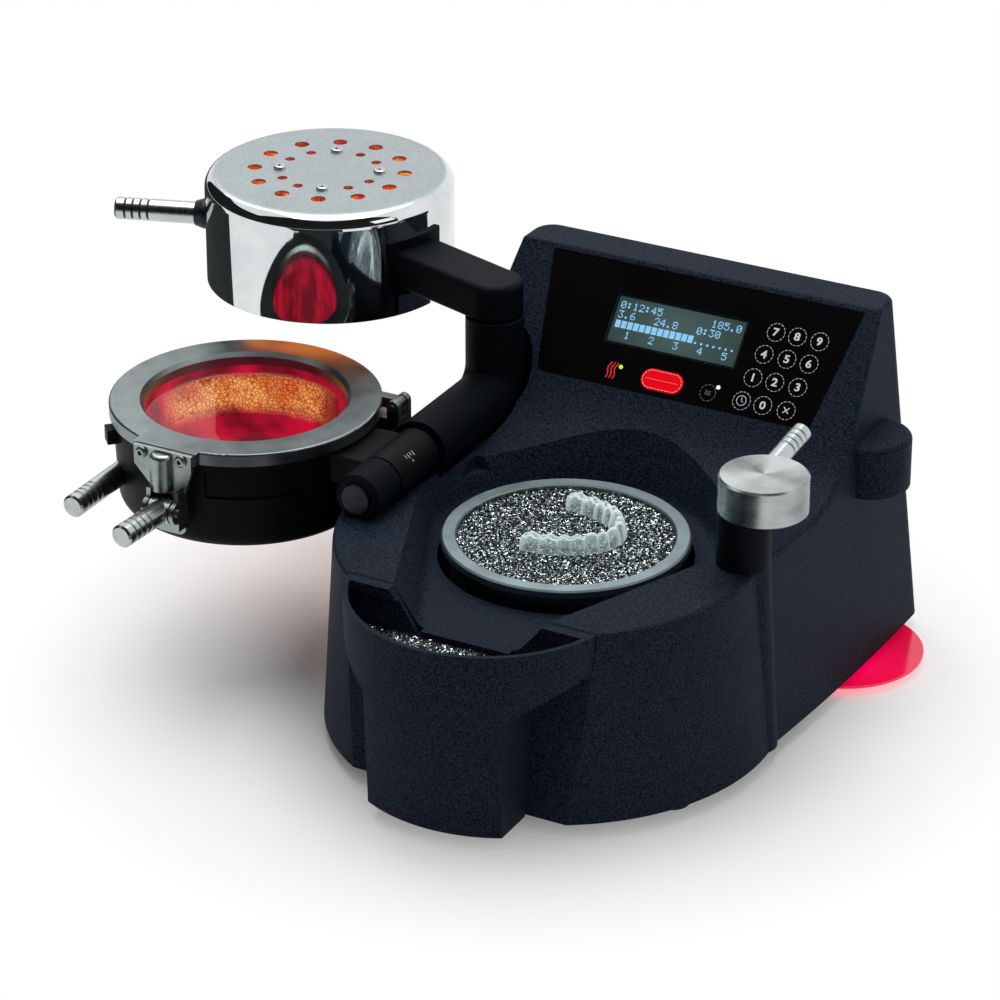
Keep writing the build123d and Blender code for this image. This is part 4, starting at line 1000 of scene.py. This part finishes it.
# %% [markdown]
# The tray is not round, so its pellets ask the bed itself: a ray is dropped on the CAD part at
# every place, and a pellet stays only where it hits the bed's top.

# %% Pellets in the tray
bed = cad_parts["tray_granulate"]
bed_top = height_of("tray_granulate")


def on_tray_bed(x, y):
    """True where the top of the bed lies under a point and all round it."""
    for shift_x, shift_y in ((0, 0), (0.8, 0), (-0.8, 0), (0, 0.8), (0, -0.8)):
        start = Vector((x + shift_x * MM, y + shift_y * MM, bed_top + 5 * MM))
        hit, place, _, _ = bed.ray_cast(start, Vector((0, 0, -1)))
        if not hit or place.z < bed_top - 0.5 * MM:
            return False
    return True


pour("tray_pellets", on_tray_bed, "tray_granulate", 1.3 * MM, "tray", 8)

# %% [markdown]
# ## The clear splint
# The finished work lies in the cup: a splint pressed over a row of teeth.  It is one clear
# shell, so it is made as one surface: an arch-shaped path, and across it a profile like an
# upturned U that swells and rises at every tooth and pinches in between.  Back teeth get two
# rows of cusps with a groove, front teeth one edge.  At a glancing angle the plastic looks
# white and face-on it looks clear, so the angle mixes the two.

# %% Shape of the teeth
TEETH = [(10.4, 10.8, 7.8), (10.0, 10.6, 8.2), (7.4, 9.4, 8.7), (7.2, 9.0, 9.1)]
TEETH += [(7.6, 8.2, 9.9), (6.2, 6.8, 9.3), (8.2, 6.8, 9.7)]
TEETH += TEETH[::-1]
ARCH_LONG = 41.0 * MM
ARCH_WIDE = 26.0 * MM
ALONG_TOOTH = 14
ACROSS_TOOTH = 28
ARCH_LEFT = 15 * MM
ARCH_BACK = 6.5 * MM
splint_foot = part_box("aligner")[0].z
arch_middle = Vector((cup_axis.x - ARCH_LEFT, cup_axis.y + ARCH_BACK, splint_foot))


def arch_walk(count):
    """Angles on the half ellipse that are evenly spaced along it."""
    angles = np.linspace(-math.pi / 2, math.pi / 2, 2000)
    speed = np.hypot(ARCH_LONG * np.sin(angles), ARCH_WIDE * np.cos(angles))
    run = np.concatenate([[0], np.cumsum((speed[1:] + speed[:-1]) / 2)])
    return np.interp(np.linspace(0, run[-1], count), run, angles)


def tooth_at(share):
    """Which tooth stands at a share of the arch, and where in it, from -1 to 1."""
    lengths = [tooth[0] for tooth in TEETH]
    run = share * sum(lengths)
    for tooth, length in zip(TEETH, lengths):
        if run <= length:
            return tooth, run / length * 2 - 1
        run -= length
    return TEETH[-1], 1.0


BACK_TOOTH = 8.5
FISSURE = 1.7
CUSP = 0.6
GUM_WAVE = 0.55


def tooth_profile(tooth, inner, side):
    """Distance from the arch and height, for a place inside the tooth and round its profile."""
    _, wide, high = tooth
    swell = max(math.cos(inner * math.pi / 2), 0.0)
    bulge = 0.62 + 0.38 * swell**0.5
    turn = math.pi * side
    flat = math.copysign(abs(math.cos(turn)) ** 0.6, math.cos(turn))
    rise = math.sin(turn) ** 0.5 if turn > 0 else 0.0
    crown = high * (0.7 + 0.3 * swell**0.4)
    if wide > BACK_TOOTH:
        crown -= FISSURE * math.exp(-((flat / 0.3) ** 2))
        crown += CUSP * math.cos(inner * math.pi * 2) * (1 - flat * flat)
        reach = wide * 0.5 * bulge * (1 - 0.2 * rise)
    else:
        reach = wide * 0.5 * bulge * (1 - 0.5 * rise)
    gum = GUM_WAVE * math.cos(inner * math.pi) if rise < 0.35 else 0.0
    return flat * reach * MM, max(0.05, crown * rise + gum + 0.5) * MM


# %% Frosted plastic
finish = Finish("frosted_plastic")
haze = finish.cloud(2.2 * MM, 3.0)
facing = finish.node("LayerWeight", inputs={"Blend": 0.35}, output=1)
share = facing.between(0.12, 0.72) * 0.8 + haze.between(0.35, 0.65) * 0.12 + 0.1
clear = finish.node("BsdfTransparent", inputs={"Color": (236, 242, 242)})
values = {
    "Base Color": (238, 246, 246),
    "Roughness": haze * 0.15 + 0.08,
    # Painted light: a faint white glow of its own brightens the plastic.
    "Emission Color": (226, 240, 240),
    "Emission Strength": 0.3,
    "Normal": finish.relief(haze, 0.2 * MM, 0.5),
}
milky = finish.node("BsdfPrincipled", inputs=values)
finish.mixed(share, clear, milky)

# %% Shell of the splint
stations = ALONG_TOOTH * len(TEETH) + 1
angles = arch_walk(stations)
points = []
for number, angle in enumerate(angles):
    tooth, inner = tooth_at(number / (stations - 1))
    centre = Vector((ARCH_LONG * math.cos(angle), ARCH_WIDE * math.sin(angle), 0))
    outward = Vector((ARCH_WIDE * math.cos(angle), ARCH_LONG * math.sin(angle), 0)).normalized()
    for step in range(ACROSS_TOOTH + 1):
        distance, height = tooth_profile(tooth, inner, step / ACROSS_TOOTH)
        points.append(arch_middle + centre + outward * distance + Vector((0, 0, height)))
row = ACROSS_TOOTH + 1
faces = []
for number in range(stations - 1):
    for step in range(ACROSS_TOOTH):
        first = number * row + step
        faces.append((first, first + 1, first + row + 1, first + row))
for number in (0, stations - 1):
    for step in range(ACROSS_TOOTH // 2):
        left = number * row + step
        right = number * row + ACROSS_TOOTH - step
        face = (left, left + 1, right - 1, right) if right - 1 > left + 1 else (left, left + 1, right)
        faces.append(face if number else face[::-1])
piece = new_piece("clear_splint", points, faces, finish, "cup")
for polygon in piece.data.polygons:
    polygon.use_smooth = True
add_body(piece, 0.6 * MM, -1.0)
smooth = piece.modifiers.new("smooth", "SUBSURF")
smooth.levels = 1
smooth.render_levels = 1
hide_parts("aligner")
print("splint faces:", len(piece.data.polygons))

# %% [markdown]
# ## Small marks
# Two marks are left.  On the knuckle of the chamber, white lines show the hinge's adjustment.
# On the mains switch, a stroke and a ring tell on from off.

# %% Lines on the knuckle
KNUCKLE_ASIDE = 96.5 * MM
KNUCKLE_HEIGHT = 124 * MM
KNUCKLE_RADIUS = 13 * MM
MARK_START = 36
MARK_TURN = 13
SHORT_MARK_TURN = 9
POINTER_START = 54
POINTER_END = 60
FIRST_MARK = 5.5
MARK_STEP = 2.3
knuckle_axis = Vector((cup_axis.x - KNUCKLE_ASIDE, 0, KNUCKLE_HEIGHT))


def knuckle_line(start, end, width):
    """A short line on the round knuckle, between two (degrees from the top, Y) places."""
    points = []
    faces = []
    for step in range(5):
        share = step / 4
        angle = math.radians(start[0] + (end[0] - start[0]) * share)
        y = start[1] + (end[1] - start[1]) * share
        spot = Vector((math.sin(angle), 0, math.cos(angle))) * (KNUCKLE_RADIUS + INK_LIFT)
        for side in (-0.5, 0.5):
            points.append(knuckle_axis + spot + Vector((0, y + side * width, 0)))
        if step:
            faces.append((2 * step - 2, 2 * step - 1, 2 * step + 1, 2 * step))
    return points, faces


drawing = Ink()
for number in range(4):
    y = cup_axis.y - (FIRST_MARK + MARK_STEP * number) * MM
    turn = SHORT_MARK_TURN if number % 2 else MARK_TURN
    drawing.add(*knuckle_line((MARK_START, y), (MARK_START + turn, y), 0.34 * MM))
pointer = cup_axis.y - 9 * MM
drawing.add(*knuckle_line((POINTER_START, pointer), (POINTER_END, pointer), 0.5 * MM))
marks = new_piece("knuckle_marks", drawing.points, drawing.faces, white_ink, "chamber")
add_body(marks, INK_THICK, 0.0)

# %% Signs on the switch
rocker_middle = middle("power_switch")
ROCKER_BACK = 182.4
ROCKER_HEIGHT = 38 * MM
LOWER_HALF = ((1.2, -8.3), (3.0, 0.0))
UPPER_HALF = ((3.0, 0.0), (4.2, 7.3))
STROKE_HALF = 0.35 * MM
STROKE_ENDS = (2.4, 5.4)
CIRCLE_HEIGHT = -4.2
CIRCLE_EDGES = (1.2, 1.8)
CIRCLE_STEPS = 24


def switch_point(x, height, face_low, face_high):
    """A point on one half of the rocker's face, x to the side and height up from its middle."""
    share = (height - face_low[1]) / (face_high[1] - face_low[1])
    y = face_low[0] + (face_high[0] - face_low[0]) * share
    y = cup_axis.y + (ROCKER_BACK + y) * MM + INK_LIFT
    return Vector((rocker_middle.x + x, y, ROCKER_HEIGHT + height * MM))


points = []
faces = []
for x in (-STROKE_HALF, STROKE_HALF):
    points += [switch_point(x, height, *UPPER_HALF) for height in STROKE_ENDS]
faces.append((0, 1, 3, 2))
for step in range(CIRCLE_STEPS):
    turn = math.tau * step / CIRCLE_STEPS
    for radius in CIRCLE_EDGES:
        height = CIRCLE_HEIGHT + radius * math.sin(turn)
        points.append(switch_point(radius * math.cos(turn) * MM, height, *LOWER_HALF))
    inner = 4 + 2 * step
    after = 4 + 2 * ((step + 1) % CIRCLE_STEPS)
    faces.append((inner, inner + 1, after + 1, after))
marks = new_piece("switch_marks", points, faces, white_ink, "switch")
add_body(marks, INK_THICK, 0.0)
print("marks drawn")

# %% [markdown]
# ## The picture
# The camera stands where such a picture is usually taken from: in front, a little to the right
# and well above, far off with a long lens so that the lines stay nearly parallel.  Its place
# follows from three facts: its direction, its distance, and where in the picture the middle of
# the cup's rim should be.

# %% Camera
PICTURE = 1000
CUP_PIXEL = (566.2, 533.2)
FOCAL_PIXELS = 4300
DISTANCE = 2.228
AZIMUTH = math.radians(28.3)
ELEVATION = math.radians(26.5)
SENSOR = 36.0

lens = bpy.data.cameras.new("camera")
lens.sensor_width = SENSOR
lens.lens = SENSOR * FOCAL_PIXELS / PICTURE
camera = put("camera", lens)
camera.rotation_euler = (math.pi / 2 - ELEVATION, 0, AZIMUTH)
turn = camera.rotation_euler.to_matrix()
across = (CUP_PIXEL[0] - PICTURE / 2) / FOCAL_PIXELS
upward = (PICTURE / 2 - CUP_PIXEL[1]) / FOCAL_PIXELS
to_cup = Vector((across, upward, -1))
rim = Vector((cup_axis.x, cup_axis.y, height_of("model_cup")))
camera.location = rim - turn @ to_cup * DISTANCE
bpy.context.scene.camera = camera
print("camera at", [round(c, 3) for c in camera.location])

# %% [markdown]
# ## Light and floor
# One big soft lamp hangs overhead, and two weaker ones stand behind and to the right.  The floor
# must be white in the picture and still carry the machine's shadow.  Near the machine it is an
# honest white floor; further out it turns, for what the camera, mirrors and glass see, into an
# even white, so the lamps needn't be turned up until the machine is washed out.


# %% Floor
def seen_rays(finish):
    """One for rays of the camera, of mirrors and through glass, and nothing for all others."""
    rays = finish.node("LightPath").socket.node.outputs
    kinds = [Wire(finish, rays["Is %s Ray" % kind]) for kind in ("Camera", "Glossy", "Transmission")]
    return (kinds[0] + kinds[1] + kinds[2]).between(0, 1)


FLOOR_HALF = 8.0
FLOOR_LEVEL = -0.5 * MM
MACHINE_MIDDLE = (0.06, 0.0, 0.0)
HONEST_UP_TO = 0.12
EVEN_FROM = 0.28
finish = Finish("floor_white")
distance = finish.length(finish.place - MACHINE_MIDDLE)
grain = finish.cloud(3 * MM, 1.0)
white = finish.tint((250, 250, 250), (253, 253, 253), grain)
lit = finish.node("BsdfPrincipled", inputs={"Base Color": white, "Roughness": 0.8})
even = finish.node("Emission", inputs={"Color": WHITE, "Strength": 1.0})
share = distance.between(HONEST_UP_TO, EVEN_FROM) * seen_rays(finish)
finish.mixed(share, lit, even)
corners = [(FLOOR_HALF * x, FLOOR_HALF * y, FLOOR_LEVEL) for x, y in SQUARE]
floor = mesh_object("floor", corners, [(0, 1, 2, 3)], finish)
floor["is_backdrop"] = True

# %% [markdown]
# Polished metal has no look of its own: it shows what stands round it.  In an all-white room a
# chrome dome turns into a white disc.  Photographers hang black cloth beside the camera, which
# draws the dark lines along the edges of the metal.  Such cloths stand and lie round the front
# of the machine here, and only mirror rays can see them.  Each is a sheet between two edges, given
# by their radii and heights, and swept round the machine from one angle to another.

# %% Black cloths
ARC_STEPS = 16
CLOTHS = {
    "standing_cloth": (2.6, 2.6, 0.05, 2.2, (-120, 95)),
    "leaning_cloth": (2.6, 1.3, 2.2, 3.4, (-50, 95)),
    "front_cloth": (0.30, 2.6, 0.0004, 0.0004, (-12, 40)),
    "side_cloth": (0.45, 2.6, 0.0004, 0.0004, (-150, -84)),
}
for name, (inner, outer, low, high, sweep) in CLOTHS.items():
    finish = Finish(name)
    weave = finish.cloud(40 * MM)
    finish.coated(base_color=finish.tint((10, 12, 14), (30, 34, 38), weave), roughness=0.9)
    points = []
    for step in range(ARC_STEPS + 1):
        angle = math.radians(sweep[0] + (sweep[1] - sweep[0]) * step / ARC_STEPS)
        for radius, height in ((inner, low), (outer, high)):
            points.append((radius * math.sin(angle), -radius * math.cos(angle), height))
    faces = [(2 * step, 2 * step + 2, 2 * step + 3, 2 * step + 1) for step in range(ARC_STEPS)]
    cloth = mesh_object(name, points, faces, finish)
    for ray in ("camera", "diffuse", "shadow", "transmission", "volume_scatter"):
        setattr(cloth, "visible_" + ray, False)
    cloth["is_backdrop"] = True
print("cloths:", len(CLOTHS))

# %% Lamps and sky
LAMPS = {
    "overhead": ((-0.15, 0.35, 1.6), (0, 0, 0.05), 1.2, 16.0),
    "back": ((-1.5, 1.1, 1.9), (0, 0, 0.1), 0.9, 6.0),
    "side": ((1.7, -0.2, 1.0), (0, 0, 0.1), 0.7, 1.8),
}
for name, (place, target, size, power) in LAMPS.items():
    light = bpy.data.lights.new(name, "AREA")
    light.size = size
    light.energy = power
    lamp = put(name, light)
    lamp.location = place
    lamp.rotation_euler = (Vector(target) - Vector(place)).to_track_quat("-Z", "Y").to_euler()

SKY_FILL = 0.3
studio = bpy.data.worlds.new("studio")
bpy.context.scene.world = studio
sky = Finish("studio", studio)
strength = seen_rays(sky) * (1 - SKY_FILL) + SKY_FILL
white = sky.node("Background", inputs={"Color": WHITE, "Strength": strength})
sky.show(white, "OutputWorld")
bpy.context.scene.view_settings.view_transform = "Standard"
print("lamps:", len(LAMPS))

# %% [markdown]
# ## Measuring
# Last, the boxes of the bare and the dressed machine are set side by side, and how much the
# looks have made it bigger is printed. The looks must not have made it bigger.

# %% Sizes
low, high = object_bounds()
print("grown by", [round((b - a) * 1000, 2) for a, b in zip(cad_high - cad_low, high - low)], "mm")
